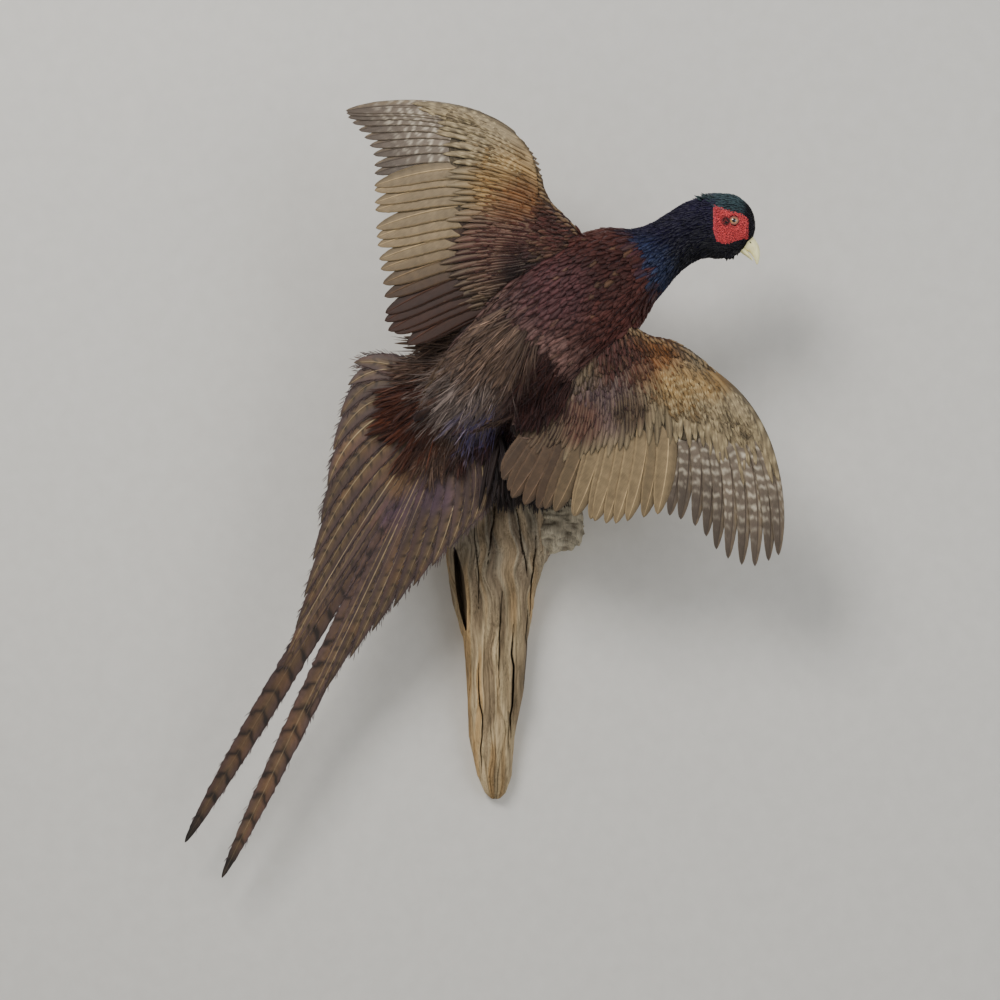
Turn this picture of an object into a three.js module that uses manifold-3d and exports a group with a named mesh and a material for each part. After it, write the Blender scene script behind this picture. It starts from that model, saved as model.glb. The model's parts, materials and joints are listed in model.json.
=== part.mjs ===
// A cock pheasant mounted in flight over a piece of driftwood that hangs on a wall.
// Millimetres. +Z is up, +X is to the right of someone facing the wall, and +Y points
// into the wall, whose face is the plane y = 0. The origin lies on the flat back of the
// driftwood. The bird shows its back: its left wing is raised, its right wing is lowered,
// its tail streams down to the left, and the right side of its face is turned outwards.
import * as THREE from 'three';
import Module from 'manifold-3d';
import { mergeVertices } from 'three/addons/utils/BufferGeometryUtils.js';

const wasm = await Module();
wasm.setup();

// ---------------------------------------------------------------- driving dimensions

const GAP = 0.3; // air left between neighbouring pieces
const SECTION_SIDES = 16; // sides of a section through the body
const ROUNDNESS = 2.25; // power of the rounded sections, 2 being a plain ellipse

// The centre line from the root of the tail to the forehead. `wide` is half the size
// across the line as it is seen from the front, `deep` half the size towards the wall.
const BODY_LINE = [
  { at: [-88, -130, 170], wide: 19, deep: 12 },
  { at: [-66, -136, 189], wide: 34, deep: 25 },
  { at: [-36, -142, 213], wide: 48, deep: 43 },
  { at: [0, -147, 243], wide: 57, deep: 55 },
  { at: [38, -151, 274], wide: 62, deep: 61 },
  { at: [76, -152, 303], wide: 61, deep: 59 },
  { at: [105, -151, 323], wide: 52, deep: 51 },
  { at: [129, -150, 335.5], wide: 37, deep: 39 },
  { at: [149, -149, 348.5], wide: 29.5, deep: 31 },
  { at: [169, -150, 361], wide: 29.5, deep: 27 },
  { at: [187, -151, 367.5], wide: 33, deep: 24 },
  { at: [203, -151, 369], wide: 32.5, deep: 21 },
  { at: [216, -151, 369.4], wide: 30.5, deep: 18.5 },
  { at: [223.5, -151, 369.4], wide: 25, deep: 15.5 },
  { at: [229.5, -151, 369.3], wide: 19, deep: 12.5 },
  { at: [233.5, -151, 369.2], wide: 12, deep: 8.5 },
  { at: [235.6, -151, 369.2], wide: 5, deep: 4 },
];
const NECK_START = 6.6; // place along the list above where the trunk ends
const HEAD_START = 10.1; // and where the head starts
const BACK_FLATTENING = 0.93; // the back is this much flatter than the breast

const EYE_RADIUS = 5;
const EYE_PLACE = [212.8, 372]; // x and z of both eyes
const EYE_SHOWS = 1.6; // how far the eyeball stands out of the head
const HEAD_MIDDLE = -151; // y of the plane between the two sides of the face

const WATTLE_RELIEF = 1.5;
const WATTLE_OUTLINE = [[192.5, 387.5], [206, 382.5], [221, 379], [227.5, 374],
  [227.5, 355], [216, 353], [206, 349], [196, 351], [192.5, 362]];

const BILL_UPPER = [
  { at: [219, -151, 358], wide: 7, deep: 7 },
  { at: [226, -151, 353.5], wide: 8.4, deep: 6.6 },
  { at: [233, -151, 347.5], wide: 6.3, deep: 5.4 },
  { at: [236.2, -151, 340], wide: 3.6, deep: 3.6 },
  { at: [237, -151, 331.5], wide: 0.8, deep: 0.9 },
];
const BILL_LOWER = [
  { at: [217, -151, 350], wide: 3, deep: 5.6 },
  { at: [223, -151, 345.2], wide: 3, deep: 5 },
  { at: [229, -151, 339.6], wide: 1.9, deep: 3.6 },
  { at: [232.6, -151, 335.6], wide: 0.7, deep: 1.3 },
];

const FEATHER_THICK = 1.2;
const SHAFT_RIDGE = 0.5;
const BLUNT_TIP = 0.955; // where along a feather its edges end

// Each wing: its leading edge and the edge of its coverts from the body outwards, and
// the feather roots and tips from the innermost feather outwards, all as [x, z].
const LEFT_WING = {
  side: 'left',
  hand: 1,
  shoulder: [68, 345],
  tip: [-162, 482],
  leading: [[84, 318], [66, 361], [38, 391], [27, 419], [14, 443], [-6, 463], [-30, 476], [-52, 483]],
  coverts: [[34, 290], [-14, 296], [-60, 310], [-73, 342], [-62, 378], [-58, 408], [-60, 450], [-62, 476]],
  thick: [26, 24, 17, 13, 10.5, 8, 5.5, 3.6],
  secondaryRoots: [[22, 306], [18, 334], [26, 362], [30, 396]],
  secondaryTips: [[-98, 257], [-122, 270], [-124, 303], [-130, 342], [-133, 378], [-134, 408]],
  primaryRoots: [[29, 404], [24, 426], [9, 446]],
  primaryTips: [[-134, 420], [-136, 441], [-147, 460], [-160, 476], [-163, 484]],
  bow: [2, 14],
};
const RIGHT_WING = {
  side: 'right',
  hand: -1,
  shoulder: [100, 290],
  tip: [258, 46],
  leading: [[66, 322], [112, 279], [130, 264], [150, 259], [173, 247], [195, 227], [214, 203], [231, 178]],
  coverts: [[-2, 172], [28, 160], [66, 150], [104, 153], [140, 162], [176, 163], [208, 162], [233, 170]],
  thick: [26, 24, 19, 15, 11.5, 8, 5.5, 3.6],
  secondaryRoots: [[40, 200], [66, 210], [94, 226], [120, 245]],
  secondaryTips: [[-10, 128], [2, 103], [36, 93], [67, 86], [98, 80], [138, 89]],
  primaryRoots: [[127, 247], [157, 243], [184, 230]],
  primaryTips: [[152, 88], [180, 76], [204, 50], [234, 38], [260, 49]],
  bow: [2, 22],
};
const SECONDARIES = 12;
const PRIMARIES = 10;
const WING_Y = -174; // y of the shoulder joint
const WING_ARCH = 14; // how far the middle of the wing bows outwards
const WING_DROOP = 44; // how far the tip bends back to the wall
const WING_CAMBER = 20; // how far the trailing edge lies behind the leading edge
const WING_CHORD = 150;
const PARTING_STEP = 0.03; // rows of points gather this close where two feathers part
const FAN_STEP = 1; // secondaries lie this far above the wing's sheet, primaries below it

// The tail: eight feathers on each side of the long middle pair, listed from the left.
const TAIL_ROOT = [-68, -136, 188];
const TAIL_FALL = 0.17; // the tail nears the wall by this much for each unit of its length
const TAIL_BASE = [[-79, 206], [-70, 194], [-60, 184], [-44, 176]];
const TAIL_LEFT = [[-156, 238], [-173, 168], [-189, 80], [-211, -10], [-232, -72]];
const TAIL_MIDDLE = [[-330, -242], [-293, -278]];
const TAIL_RIGHT = [[-206, -112], [-150, -40], [-88, 30], [-42, 84], [-16, 126]];
const SIDE_FEATHERS = 8;
const MIDDLE_PARTING = 0.58; // where along their length the middle pair draw apart

const WOOD = [
  { z: 106, left: -38, right: 68, deep: 71 },
  { z: 97, left: -48, right: 74, deep: 77 },
  { z: 84, left: -57, right: 75, deep: 78 },
  { z: 56, left: -68, right: 73, deep: 74 },
  { z: 50, left: -69, right: 42, deep: 70 },
  { z: 36, left: -68, right: 33, deep: 67 },
  { z: 3, left: -62, right: 25, deep: 60 },
  { z: -42, left: -50, right: 17, deep: 53 },
  { z: -90, left: -47, right: 13, deep: 46 },
  { z: -140, left: -45, right: 3, deep: 38 },
  { z: -180, left: -36, right: 0, deep: 28 },
  { z: -198, left: -28, right: -6, deep: 17 },
  { z: -204, left: -22, right: -12, deep: 9 },
];

const HANGER = { x: -4, z: 62, length: 44, width: 10, gauge: 1, lift: 1.6, recess: 3.6 };

// Each leg: the hip inside the trunk, the heel, and the foot on the end of the wood.
// `turn` is the way the middle toe points, seen from above.
const LEGS = [
  { side: 'left', hip: [-22, -120, 250], heel: [-8, -86, 172], foot: [-14, -44], turn: -0.35 },
  { side: 'right', hip: [16, -120, 216], heel: [34, -84, 172], foot: [32, -30], turn: 0.1 },
];
const TARSUS_RADIUS = 3.6;
const TOE_RADIUS = 2.8;
// The inner, middle, outer and hind toe.
const TOES = [
  { spread: -0.5, length: 34 },
  { spread: 0, length: 42 },
  { spread: 0.5, length: 32 },
  { spread: Math.PI, length: 16 },
];

// ---------------------------------------------------------------- shape helpers

const { clamp, lerp } = THREE.MathUtils;
const round = { sides: 8, steps: 2, power: 2 };
const vector = ([x, y, z]) => new THREE.Vector3(x, y, z);
const flat = ([x, z]) => new THREE.Vector2(x, z);

// A solid from a closed triangle mesh, turned inside out if its faces point inwards.
function solidFrom(positions, faces) {
  let volume = 0;
  const corner = (index) => new THREE.Vector3().fromArray(positions, index * 3);
  for (let face = 0; face < faces.length; face += 3) {
    const [a, b, c] = [faces[face], faces[face + 1], faces[face + 2]].map(corner);
    volume += a.dot(b.cross(c));
  }
  const outward = volume > 0 ? faces : [...faces].reverse();
  return new wasm.Manifold(new wasm.Mesh({
    numProp: 3,
    vertProperties: new Float32Array(positions),
    triVerts: new Uint32Array(outward),
  }));
}

function solidOf(geometry) {
  const bare = geometry.clone();
  bare.deleteAttribute('normal');
  bare.deleteAttribute('uv');
  const merged = mergeVertices(bare, 1e-3);
  return solidFrom([...merged.attributes.position.array], [...merged.index.array]);
}

// Cuts can leave crumbs, and a piece is one body: the largest.
function largest(solid) {
  const parts = solid.decompose();
  return parts.reduce((best, part) => (part.volume() > best.volume() ? part : best));
}

// A closed body through rings that all have the same number of points.
function loft(rings) {
  const sides = rings[0].length;
  const points = rings.flat();
  const faces = [];
  for (let ring = 0; ring < rings.length - 1; ring += 1) {
    for (let side = 0; side < sides; side += 1) {
      const here = ring * sides + side;
      const beside = ring * sides + ((side + 1) % sides);
      faces.push(here, beside, beside + sides, here, beside + sides, here + sides);
    }
  }
  for (const ring of [0, rings.length - 1]) {
    const middle = new THREE.Vector3();
    rings[ring].forEach((point) => middle.addScaledVector(point, 1 / sides));
    const hub = points.push(middle) - 1;
    for (let side = 0; side < sides; side += 1) {
      const here = ring * sides + side;
      const beside = ring * sides + ((side + 1) % sides);
      faces.push(...(ring === 0 ? [hub, beside, here] : [hub, here, beside]));
    }
  }
  return solidFrom(points.flatMap((point) => point.toArray()), faces);
}

// A body of rounded sections along a line of stations. `from` and `to` are places along
// the list, `grow` makes it fatter and longer, and `lead` moves its first section on.
function bodyAlong(stations, options = {}) {
  const { from = 0, to = stations.length - 1, grow = 0, lead = 0 } = options;
  const { sides = SECTION_SIDES, steps = 2, power = ROUNDNESS, flatness = () => 1 } = options;
  const last = stations.length - 1;
  const line = new THREE.CatmullRomCurve3(stations.map(({ at }) => vector(at)));
  const sizes = new THREE.CatmullRomCurve3(
    stations.map(({ wide, deep }) => new THREE.Vector3(wide, deep, 0)),
  );
  const count = Math.max(1, Math.round((to - from) * steps));
  const rounded = (value) => Math.sign(value) * Math.abs(value) ** (2 / power);
  const rings = [];
  for (let step = 0; step <= count; step += 1) {
    const place = lerp(from, to, step / count);
    const middle = line.getPoint(place / last);
    const along = line.getTangent(place / last);
    const size = sizes.getPoint(place / last);
    const across = new THREE.Vector3(-along.z, 0, along.x).normalize();
    const inwards = across.clone().cross(along);
    if (step === 0) middle.addScaledVector(along, lead);
    if (step === count) middle.addScaledVector(along, grow);
    const ring = [];
    for (let side = 0; side < sides; side += 1) {
      const angle = (side / sides) * 2 * Math.PI;
      const reach = rounded(Math.sin(angle)) * (Math.sin(angle) < 0 ? flatness(place) : 1);
      ring.push(middle.clone()
        .addScaledVector(across, rounded(Math.cos(angle)) * (size.x + grow))
        .addScaledVector(inwards, reach * (size.y + grow)));
    }
    rings.push(ring);
  }
  return loft(rings);
}

// A straight-sided block with the outline `points` in x and z, from y = `near` to `far`.
function slab(points, near, far) {
  const shape = new THREE.Shape(points.map(flat));
  const block = new THREE.ExtrudeGeometry(shape, { depth: far - near, bevelEnabled: false });
  block.rotateX(Math.PI / 2);
  block.translate(0, far, 0);
  return solidOf(block);
}

// ---------------------------------------------------------------- feathers

// A quill's line from root to tip, bowed sideways by `bow` towards `side`.
function quill(root, tip, bow, side) {
  const bend = root.clone().lerp(tip, 0.5).addScaledVector(side, 2 * bow);
  return new THREE.QuadraticBezierCurve(root, bend, tip);
}

// How wide a feather is at a place along it, as a share of its greatest width.
function vane(place, taper) {
  const opening = 0.55 + 0.45 * Math.sin((Math.PI / 2) * Math.min(place / 0.55, 1));
  const closing = clamp((place - 0.55) / 0.45, 0, 1);
  return opening * (1 - taper * closing ** 1.5);
}

// One sheet of overlapping feathers that part towards their tips. `parting` says how far
// along the shorter of two neighbours they stay together, `depth` gives y at x and z, and
// the sheet begins a share `start` along the quills. Feathers that are `broad` have both
// edges run out to a blunt tip, and the others narrow to a point.
function featherFan({ quills, halfWidth, taper, parting, depth, rows, start, broad }) {
  const lengths = quills.map((curve) => curve.getLength());
  const middleOf = (index, place) => quills[index].getPoint(place);
  const edge = (index, place, hand) => {
    const middle = middleOf(index, place);
    const along = quills[index].getTangent(place);
    const across = new THREE.Vector2(-along.y, along.x);
    const outermost = !quills[index + hand];
    const other = outermost ? index - hand : index + hand;
    const level = Math.min((place * lengths[index]) / lengths[other], 1);
    const towards = middleOf(other, level).sub(middle);
    if (outermost) towards.negate();
    if (across.dot(towards) < 0) across.negate();
    const room = outermost ? Infinity : 0.36 * across.dot(towards);
    const half = Math.min(halfWidth(index) * vane(place, taper(index)), room);
    return middle.addScaledVector(across, half);
  };
  const columns = [];
  quills.forEach((curve, index) => {
    const [first, final] = [index === 0, index === quills.length - 1];
    const side = (hand) => (place) => edge(index, place * BLUNT_TIP, hand);
    if (broad(index) || first) columns.push({ at: side(-1), ridge: 0.1 });
    columns.push({ at: (place) => curve.getPoint(place), ridge: SHAFT_RIDGE });
    if (broad(index) || final) columns.push({ at: side(1), ridge: 0.3 });
    if (final) return;
    const shorter = Math.min(lengths[index], lengths[index + 1]);
    const between = (place) => edge(index, (place * shorter) / lengths[index], 1)
      .lerp(edge(index + 1, (place * shorter) / lengths[index + 1], -1), 0.5);
    columns.push({ at: between, ridge: 0, held: parting(index) });
  });
  const rings = columns.map(({ at, ridge, held = Infinity }) => {
    const outer = [];
    const inner = [];
    for (let row = 0; row <= rows; row += 1) {
      const spot = at(Math.min(lerp(start, 1, row / rows), held - PARTING_STEP * (rows - row)));
      const y = depth(spot.x, spot.y);
      outer.push(new THREE.Vector3(spot.x, y - FEATHER_THICK / 2 - ridge, spot.y));
      inner.unshift(new THREE.Vector3(spot.x, y + FEATHER_THICK / 2, spot.y));
    }
    return [...outer, ...inner];
  });
  return loft(rings);
}

// ---------------------------------------------------------------- body

const flatness = (place) => {
  const share = clamp((place - NECK_START) / (HEAD_START - NECK_START), 0, 1);
  return lerp(BACK_FLATTENING, 1, share);
};
const section = (from, to, more) => bodyAlong(BODY_LINE, { from, to, flatness, ...more });

const trunk = section(0, NECK_START, { steps: 2.2 });
const trunkRoom = section(0, NECK_START, { steps: 2.2, grow: GAP });
const neck = section(NECK_START, HEAD_START, { steps: 2, lead: GAP });
const headShape = (grow) => section(HEAD_START, BODY_LINE.length - 1, { lead: GAP, grow });

function eyeball(side, grow) {
  const ball = new THREE.SphereGeometry(EYE_RADIUS + grow, 12, 7);
  const [x, z] = EYE_PLACE;
  const cheek = BODY_LINE[12].deep;
  ball.translate(x, HEAD_MIDDLE + side * (cheek + EYE_SHOWS - EYE_RADIUS), z);
  return solidOf(ball);
}

function wattle(side) {
  const [near, far] = [HEAD_MIDDLE + side * 3, HEAD_MIDDLE + side * 40];
  return largest(headShape(WATTLE_RELIEF)
    .intersect(slab(WATTLE_OUTLINE, Math.min(near, far), Math.max(near, far)))
    .subtract(headShape(GAP))
    .subtract(eyeball(side, GAP)));
}

const RIGHT_SIDE = -1; // the right side of the face looks away from the wall
const LEFT_SIDE = 1;
const head = headShape(0)
  .subtract(eyeball(RIGHT_SIDE, GAP))
  .subtract(eyeball(LEFT_SIDE, GAP));
const bill = (stations, grow) => bodyAlong(stations, { ...round, sides: 10, grow });
const billUpper = largest(bill(BILL_UPPER, 0).subtract(headShape(GAP)));
const billLower = largest(bill(BILL_LOWER, 0)
  .subtract(headShape(GAP))
  .subtract(bill(BILL_UPPER, GAP)));

// ---------------------------------------------------------------- wings

// The wing's own directions: out along the span and back to the trailing edge.
function wingAxes(wing) {
  const span = flat(wing.tip).sub(flat(wing.shoulder));
  const out = span.clone().normalize();
  const back = new THREE.Vector2(-out.y, out.x).multiplyScalar(wing.hand);
  return { out, back, length: span.length() };
}

// The curved sheet that a wing lies in.
function wingDepth(wing) {
  const { out, back, length } = wingAxes(wing);
  return (x, z) => {
    const reach = new THREE.Vector2(x, z).sub(flat(wing.shoulder));
    const along = clamp(reach.dot(out) / length, 0, 1.1);
    const behind = clamp(reach.dot(back) / WING_CHORD, -0.4, 1.3);
    const arch = WING_ARCH * Math.sin(Math.PI * Math.min(along, 1));
    return WING_Y - arch + WING_DROOP * along ** 2 + WING_CAMBER * behind;
  };
}

// The feathered arm: sections like a wing's from the body outwards, whose trailing edge
// is scalloped by the coverts. Each point is [share of the chord, share of the thickness].
const ARM_SECTION = [[0, 0], [0.05, -0.34], [0.32, -0.4], [0.72, -0.14], [1, 0],
  [1, 0], [0.72, 0.1], [0.32, 0.3], [0.05, 0.28]];
const UPPER_POINTS = 4; // the last point of the list above on the upper surface
const SKIN_RAMP = 0.25; // share of the chord over which the coverts reach their thickness
const COVERT_EDGE = 2.2; // half the thickness at the coverts' edge
const COVERT_LOBES = 8;
const LOBE_DEPTH = 6;
const LOBE_STEPS = 3;

function arm(wing, grow) {
  const depth = wingDepth(wing);
  const leading = new THREE.SplineCurve(wing.leading.map(flat));
  const coverts = new THREE.SplineCurve(wing.coverts.map(flat));
  const thick = new THREE.SplineCurve(wing.thick.map((size) => new THREE.Vector2(size, 0)));
  const rings = [];
  const count = COVERT_LOBES * LOBE_STEPS;
  for (let step = 0; step <= count; step += 1) {
    const share = step / count;
    const front = leading.getPoint(share);
    const chord = coverts.getPoint(share).sub(front);
    const lobe = LOBE_DEPTH * Math.abs(Math.sin(Math.PI * COVERT_LOBES * share));
    const stretch = 1 + (lobe + grow) / chord.length();
    const size = thick.getPoint(share).x;
    rings.push(ARM_SECTION.map(([place, lift], index) => {
      const reach = place === 0 ? -grow / chord.length() : place * stretch;
      const spot = front.clone().addScaledVector(chord, reach);
      const surface = index <= UPPER_POINTS ? -1 : 1;
      const skin = surface * (COVERT_EDGE + grow) * Math.min(place / SKIN_RAMP, 1);
      const y = depth(spot.x, spot.y) + skin + lift * size;
      return new THREE.Vector3(spot.x, y, spot.y);
    }));
  }
  return loft(rings);
}

// Roots and tips are spread evenly along the curves through the places given.
function quillsBetween(roots, tips, count, bow, side) {
  const rootLine = new THREE.SplineCurve(roots.map(flat));
  const tipLine = new THREE.SplineCurve(tips.map(flat));
  return Array.from({ length: count }, (unused, index) => {
    const share = index / (count - 1);
    return quill(rootLine.getPoint(share), tipLine.getPoint(share), bow(share), side);
  });
}

// The sheet is built from the outermost feather in.
function secondaries(wing) {
  const front = wingAxes(wing).back.negate();
  const depth = wingDepth(wing);
  const quills = quillsBetween(wing.secondaryRoots, wing.secondaryTips, SECONDARIES,
    () => 3, front).reverse();
  return featherFan({
    quills, halfWidth: () => 12, taper: () => 0.55, parting: () => 0.95,
    depth: (x, z) => depth(x, z) - FAN_STEP, rows: 2, start: 0.4, broad: () => false,
  });
}

function primaries(wing) {
  const front = wingAxes(wing).back.negate();
  const quills = quillsBetween(wing.primaryRoots, wing.primaryTips, PRIMARIES,
    (share) => lerp(...wing.bow, share), front);
  const depth = wingDepth(wing);
  return featherFan({
    quills, halfWidth: () => 9.5, taper: () => 0.6, parting: (index) => 0.9 - 0.02 * index,
    depth: (x, z) => depth(x, z) + FAN_STEP, rows: 3, start: 0.36, broad: () => true,
  });
}

// ---------------------------------------------------------------- tail

function tail() {
  const baseLine = new THREE.SplineCurve(TAIL_BASE.map(flat));
  const pick = (points, index) => new THREE.SplineCurve(points.map(flat))
    .getPoint(index / (SIDE_FEATHERS - 1));
  const side = Array.from({ length: SIDE_FEATHERS }, (unused, index) => index);
  const tips = [
    ...side.map((index) => pick(TAIL_LEFT, index)),
    ...TAIL_MIDDLE.map(flat),
    ...side.map((index) => pick(TAIL_RIGHT, index)),
  ];
  const sideways = new THREE.Vector2(-1, 0);
  const quills = tips.map((tip, index) => {
    const share = index / (tips.length - 1);
    return quill(baseLine.getPoint(share), tip, 6 * (1 - 2 * share), sideways);
  });
  const [rootX, rootY, rootZ] = TAIL_ROOT;
  const long = (index) => index === SIDE_FEATHERS || index === SIDE_FEATHERS + 1;
  return featherFan({
    quills,
    halfWidth: (index) => (long(index) ? 10.5 : 11.5),
    taper: (index) => (long(index) ? 0.5 : 0.7),
    parting: (index) => (index === SIDE_FEATHERS ? MIDDLE_PARTING : 0.82),
    depth: (x, z) => rootY + TAIL_FALL * Math.hypot(x - rootX, z - rootZ),
    rows: 4,
    start: 0.05,
    broad: long,
  });
}

// ---------------------------------------------------------------- driftwood and hanger

const WOOD_ARC = 13; // points round the front of a section
const WOOD_STEP = 20; // greatest height between two sections

// The wood has a flat back on the wall and a weathered front: broad flutes run down it.
function woodRing({ z, left, right, deep }) {
  const middle = (left + right) / 2;
  const half = (right - left) / 2;
  const ring = [];
  for (let step = 0; step <= WOOD_ARC; step += 1) {
    const angle = (step / WOOD_ARC) * Math.PI;
    const flute = 0.06 * Math.sin(5 * angle + z / 23) + 0.035 * Math.sin(9 * angle - z / 14);
    const swell = 1 + flute * Math.sin(angle);
    const x = middle - half * Math.sign(Math.cos(angle)) * Math.abs(Math.cos(angle)) ** 0.85;
    ring.push(new THREE.Vector3(x, -deep * Math.sin(angle) ** 0.8 * swell, z));
  }
  return ring;
}

function wood() {
  const levels = [];
  WOOD.forEach((level, index) => {
    levels.push(level);
    const next = WOOD[index + 1];
    if (!next) return;
    const count = Math.ceil((level.z - next.z) / WOOD_STEP);
    for (let step = 1; step < count; step += 1) {
      const share = step / count;
      levels.push({
        z: lerp(level.z, next.z, share),
        left: lerp(level.left, next.left, share),
        right: lerp(level.right, next.right, share),
        deep: lerp(level.deep, next.deep, share),
      });
    }
  });
  return loft(levels.map(woodRing));
}

// A drying crack: a narrow wedge down the front between two heights.
function crack({ x, top, bottom, lean, opening, depth, surface }) {
  const outline = [[x, top], [x + opening / 2 + lean / 2, (top + bottom) / 2],
    [x + lean, bottom], [x - opening / 2 + lean / 2, (top + bottom) / 2]];
  return slab(outline, -surface - 40, -surface + depth);
}

function box(size, centre) {
  const block = new THREE.BoxGeometry(...size);
  block.translate(...centre);
  return solidOf(block);
}

// A sawtooth hanger: a strip with both ends on the floor of its recess and its middle
// lifted off it, and a row of teeth along the lower edge to catch the nail.
const HANGER_TEETH = 8;
const HANGER_FOOT = 7;

function hanger() {
  const { x, z, length, width, gauge, lift, recess } = HANGER;
  const floor = -recess + GAP;
  const half = length / 2;
  const profile = [[-half, 0], [-half + HANGER_FOOT, 0], [-half + HANGER_FOOT + 2, lift],
    [half - HANGER_FOOT - 2, lift], [half - HANGER_FOOT, 0], [half, 0]];
  const outline = [...profile, ...profile.map(([px, py]) => [px, py + gauge]).reverse()];
  const strip = new THREE.ExtrudeGeometry(new THREE.Shape(outline.map(flat)),
    { depth: width, bevelEnabled: false });
  strip.translate(x, floor, z - width / 2);
  let solid = solidOf(strip);
  const pitch = (length - 2 * HANGER_FOOT - 6) / HANGER_TEETH;
  for (let tooth = 0; tooth < HANGER_TEETH; tooth += 1) {
    const middle = x + (tooth - (HANGER_TEETH - 1) / 2) * pitch;
    const low = z - width / 2;
    const notch = [[middle - pitch * 0.42, low - 1], [middle + pitch * 0.42, low - 1],
      [middle, low + 2]];
    solid = solid.subtract(slab(notch, -recess, 1));
  }
  for (const end of [-1, 1]) {
    const nail = new THREE.CylinderGeometry(2, 2, 0.6, 10);
    nail.translate(x + end * (half - HANGER_FOOT / 2), floor + gauge + 0.25, z);
    solid = solid.add(solidOf(nail));
  }
  return solid;
}

// ---------------------------------------------------------------- legs

const WOOD_TOP = WOOD[0].z;
const FOOT_HEIGHT = WOOD_TOP + GAP + TOE_RADIUS;

function thigh({ hip, heel }) {
  const at = (share) => vector(hip).lerp(vector(heel), share).toArray();
  return bodyAlong([
    { at: at(0), wide: 20, deep: 19 },
    { at: at(0.45), wide: 16, deep: 16 },
    { at: at(0.8), wide: 9, deep: 9 },
    { at: at(1), wide: 5.4, deep: 5.4 },
  ], { ...round, sides: 12, steps: 1 });
}

function tarsus({ heel, foot }, grow) {
  const ankle = [foot[0], foot[1], FOOT_HEIGHT + 0.4];
  const at = (share) => vector(heel).lerp(vector(ankle), share).toArray();
  return bodyAlong([
    { at: at(-0.06), wide: TARSUS_RADIUS * 0.8, deep: TARSUS_RADIUS * 0.8 },
    { at: at(0.06), wide: TARSUS_RADIUS * 1.2, deep: TARSUS_RADIUS * 1.2 },
    { at: at(0.5), wide: TARSUS_RADIUS * 0.85, deep: TARSUS_RADIUS * 0.9 },
    { at: at(1), wide: TARSUS_RADIUS, deep: TARSUS_RADIUS * 0.8 },
  ], { ...round, steps: 1, grow });
}

// A toe runs along the end of the wood and finishes in a claw that curves down to it.
function toe({ foot, turn }, { spread, length }) {
  const heading = turn + spread;
  const at = (reach, rise) => [foot[0] + reach * Math.cos(heading),
    foot[1] + reach * Math.sin(heading), FOOT_HEIGHT + rise];
  return bodyAlong([
    { at: at(0, 0), wide: TOE_RADIUS, deep: TOE_RADIUS },
    { at: at(length * 0.35, 0.2), wide: TOE_RADIUS * 0.85, deep: TOE_RADIUS * 0.9 },
    { at: at(length * 0.7, 0), wide: TOE_RADIUS * 0.8, deep: TOE_RADIUS * 0.8 },
    { at: at(length * 0.82, 0.3), wide: TOE_RADIUS * 0.45, deep: TOE_RADIUS * 0.45 },
    { at: at(length * 0.95, -0.6), wide: TOE_RADIUS * 0.3, deep: TOE_RADIUS * 0.3 },
    { at: at(length, -2), wide: 0.4, deep: 0.4 },
  ], { ...round, sides: 6, steps: 1 });
}

function spur({ heel, foot }) {
  const root = vector(heel).lerp(vector([...foot, FOOT_HEIGHT]), 0.62);
  const at = (reach, rise) => [root.x - reach, root.y, root.z + rise];
  return bodyAlong([
    { at: at(0, 0), wide: 2.4, deep: 2.4 },
    { at: at(5, 0.4), wide: 1.8, deep: 1.8 },
    { at: at(10, 2.4), wide: 0.5, deep: 0.5 },
  ], { ...round, sides: 6, steps: 1 });
}

function foot(leg) {
  return TOES.reduce((solid, one) => solid.add(toe(leg, one)), tarsus(leg, 0)).add(spur(leg));
}

// ---------------------------------------------------------------- assembly

const group = new THREE.Group();

function place(name, solid, colour, roughness, metalness = 0) {
  const { vertProperties, triVerts, numProp } = largest(solid).getMesh();
  const geometry = new THREE.BufferGeometry();
  const positions = new THREE.BufferAttribute(new Float32Array(vertProperties), numProp);
  geometry.setAttribute('position', positions);
  geometry.setIndex([...triVerts]);
  const material = new THREE.MeshStandardMaterial({ color: colour, roughness, metalness });
  const mesh = new THREE.Mesh(geometry, material);
  mesh.name = name;
  group.add(mesh);
}

const MAROON = '#3d1f24';
const GOLDEN = '#6f5130';
const OLIVE = '#7a6850';
const INK = '#15142a';

place('trunk', trunk, MAROON, 0.6);
place('neck', neck, INK, 0.45);
place('head', head, INK, 0.4);
place('bill_upper', billUpper, '#dcd48f', 0.4);
place('bill_lower', billLower, '#d6cd96', 0.4);
for (const [name, side] of [['right', RIGHT_SIDE], ['left', LEFT_SIDE]]) {
  place(`eye_${name}`, eyeball(side, 0), '#2a1508', 0.05);
  place(`wattle_${name}`, wattle(side), '#b3272c', 0.65);
}
for (const wing of [LEFT_WING, RIGHT_WING]) {
  const armRoom = arm(wing, GAP).add(trunkRoom);
  place(`wing_${wing.side}_arm`, arm(wing, 0).subtract(trunkRoom), GOLDEN, 0.7);
  place(`wing_${wing.side}_secondaries`, secondaries(wing).subtract(armRoom), OLIVE, 0.6);
  place(`wing_${wing.side}_primaries`, primaries(wing).subtract(armRoom), OLIVE, 0.6);
}
place('tail', tail().subtract(trunkRoom), '#59442f', 0.6);
for (const leg of LEGS) {
  place(`thigh_${leg.side}`, thigh(leg).subtract(trunkRoom).subtract(tarsus(leg, GAP)), INK, 0.7);
  place(`foot_${leg.side}`, foot(leg), '#6d675c', 0.6);
}

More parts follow.
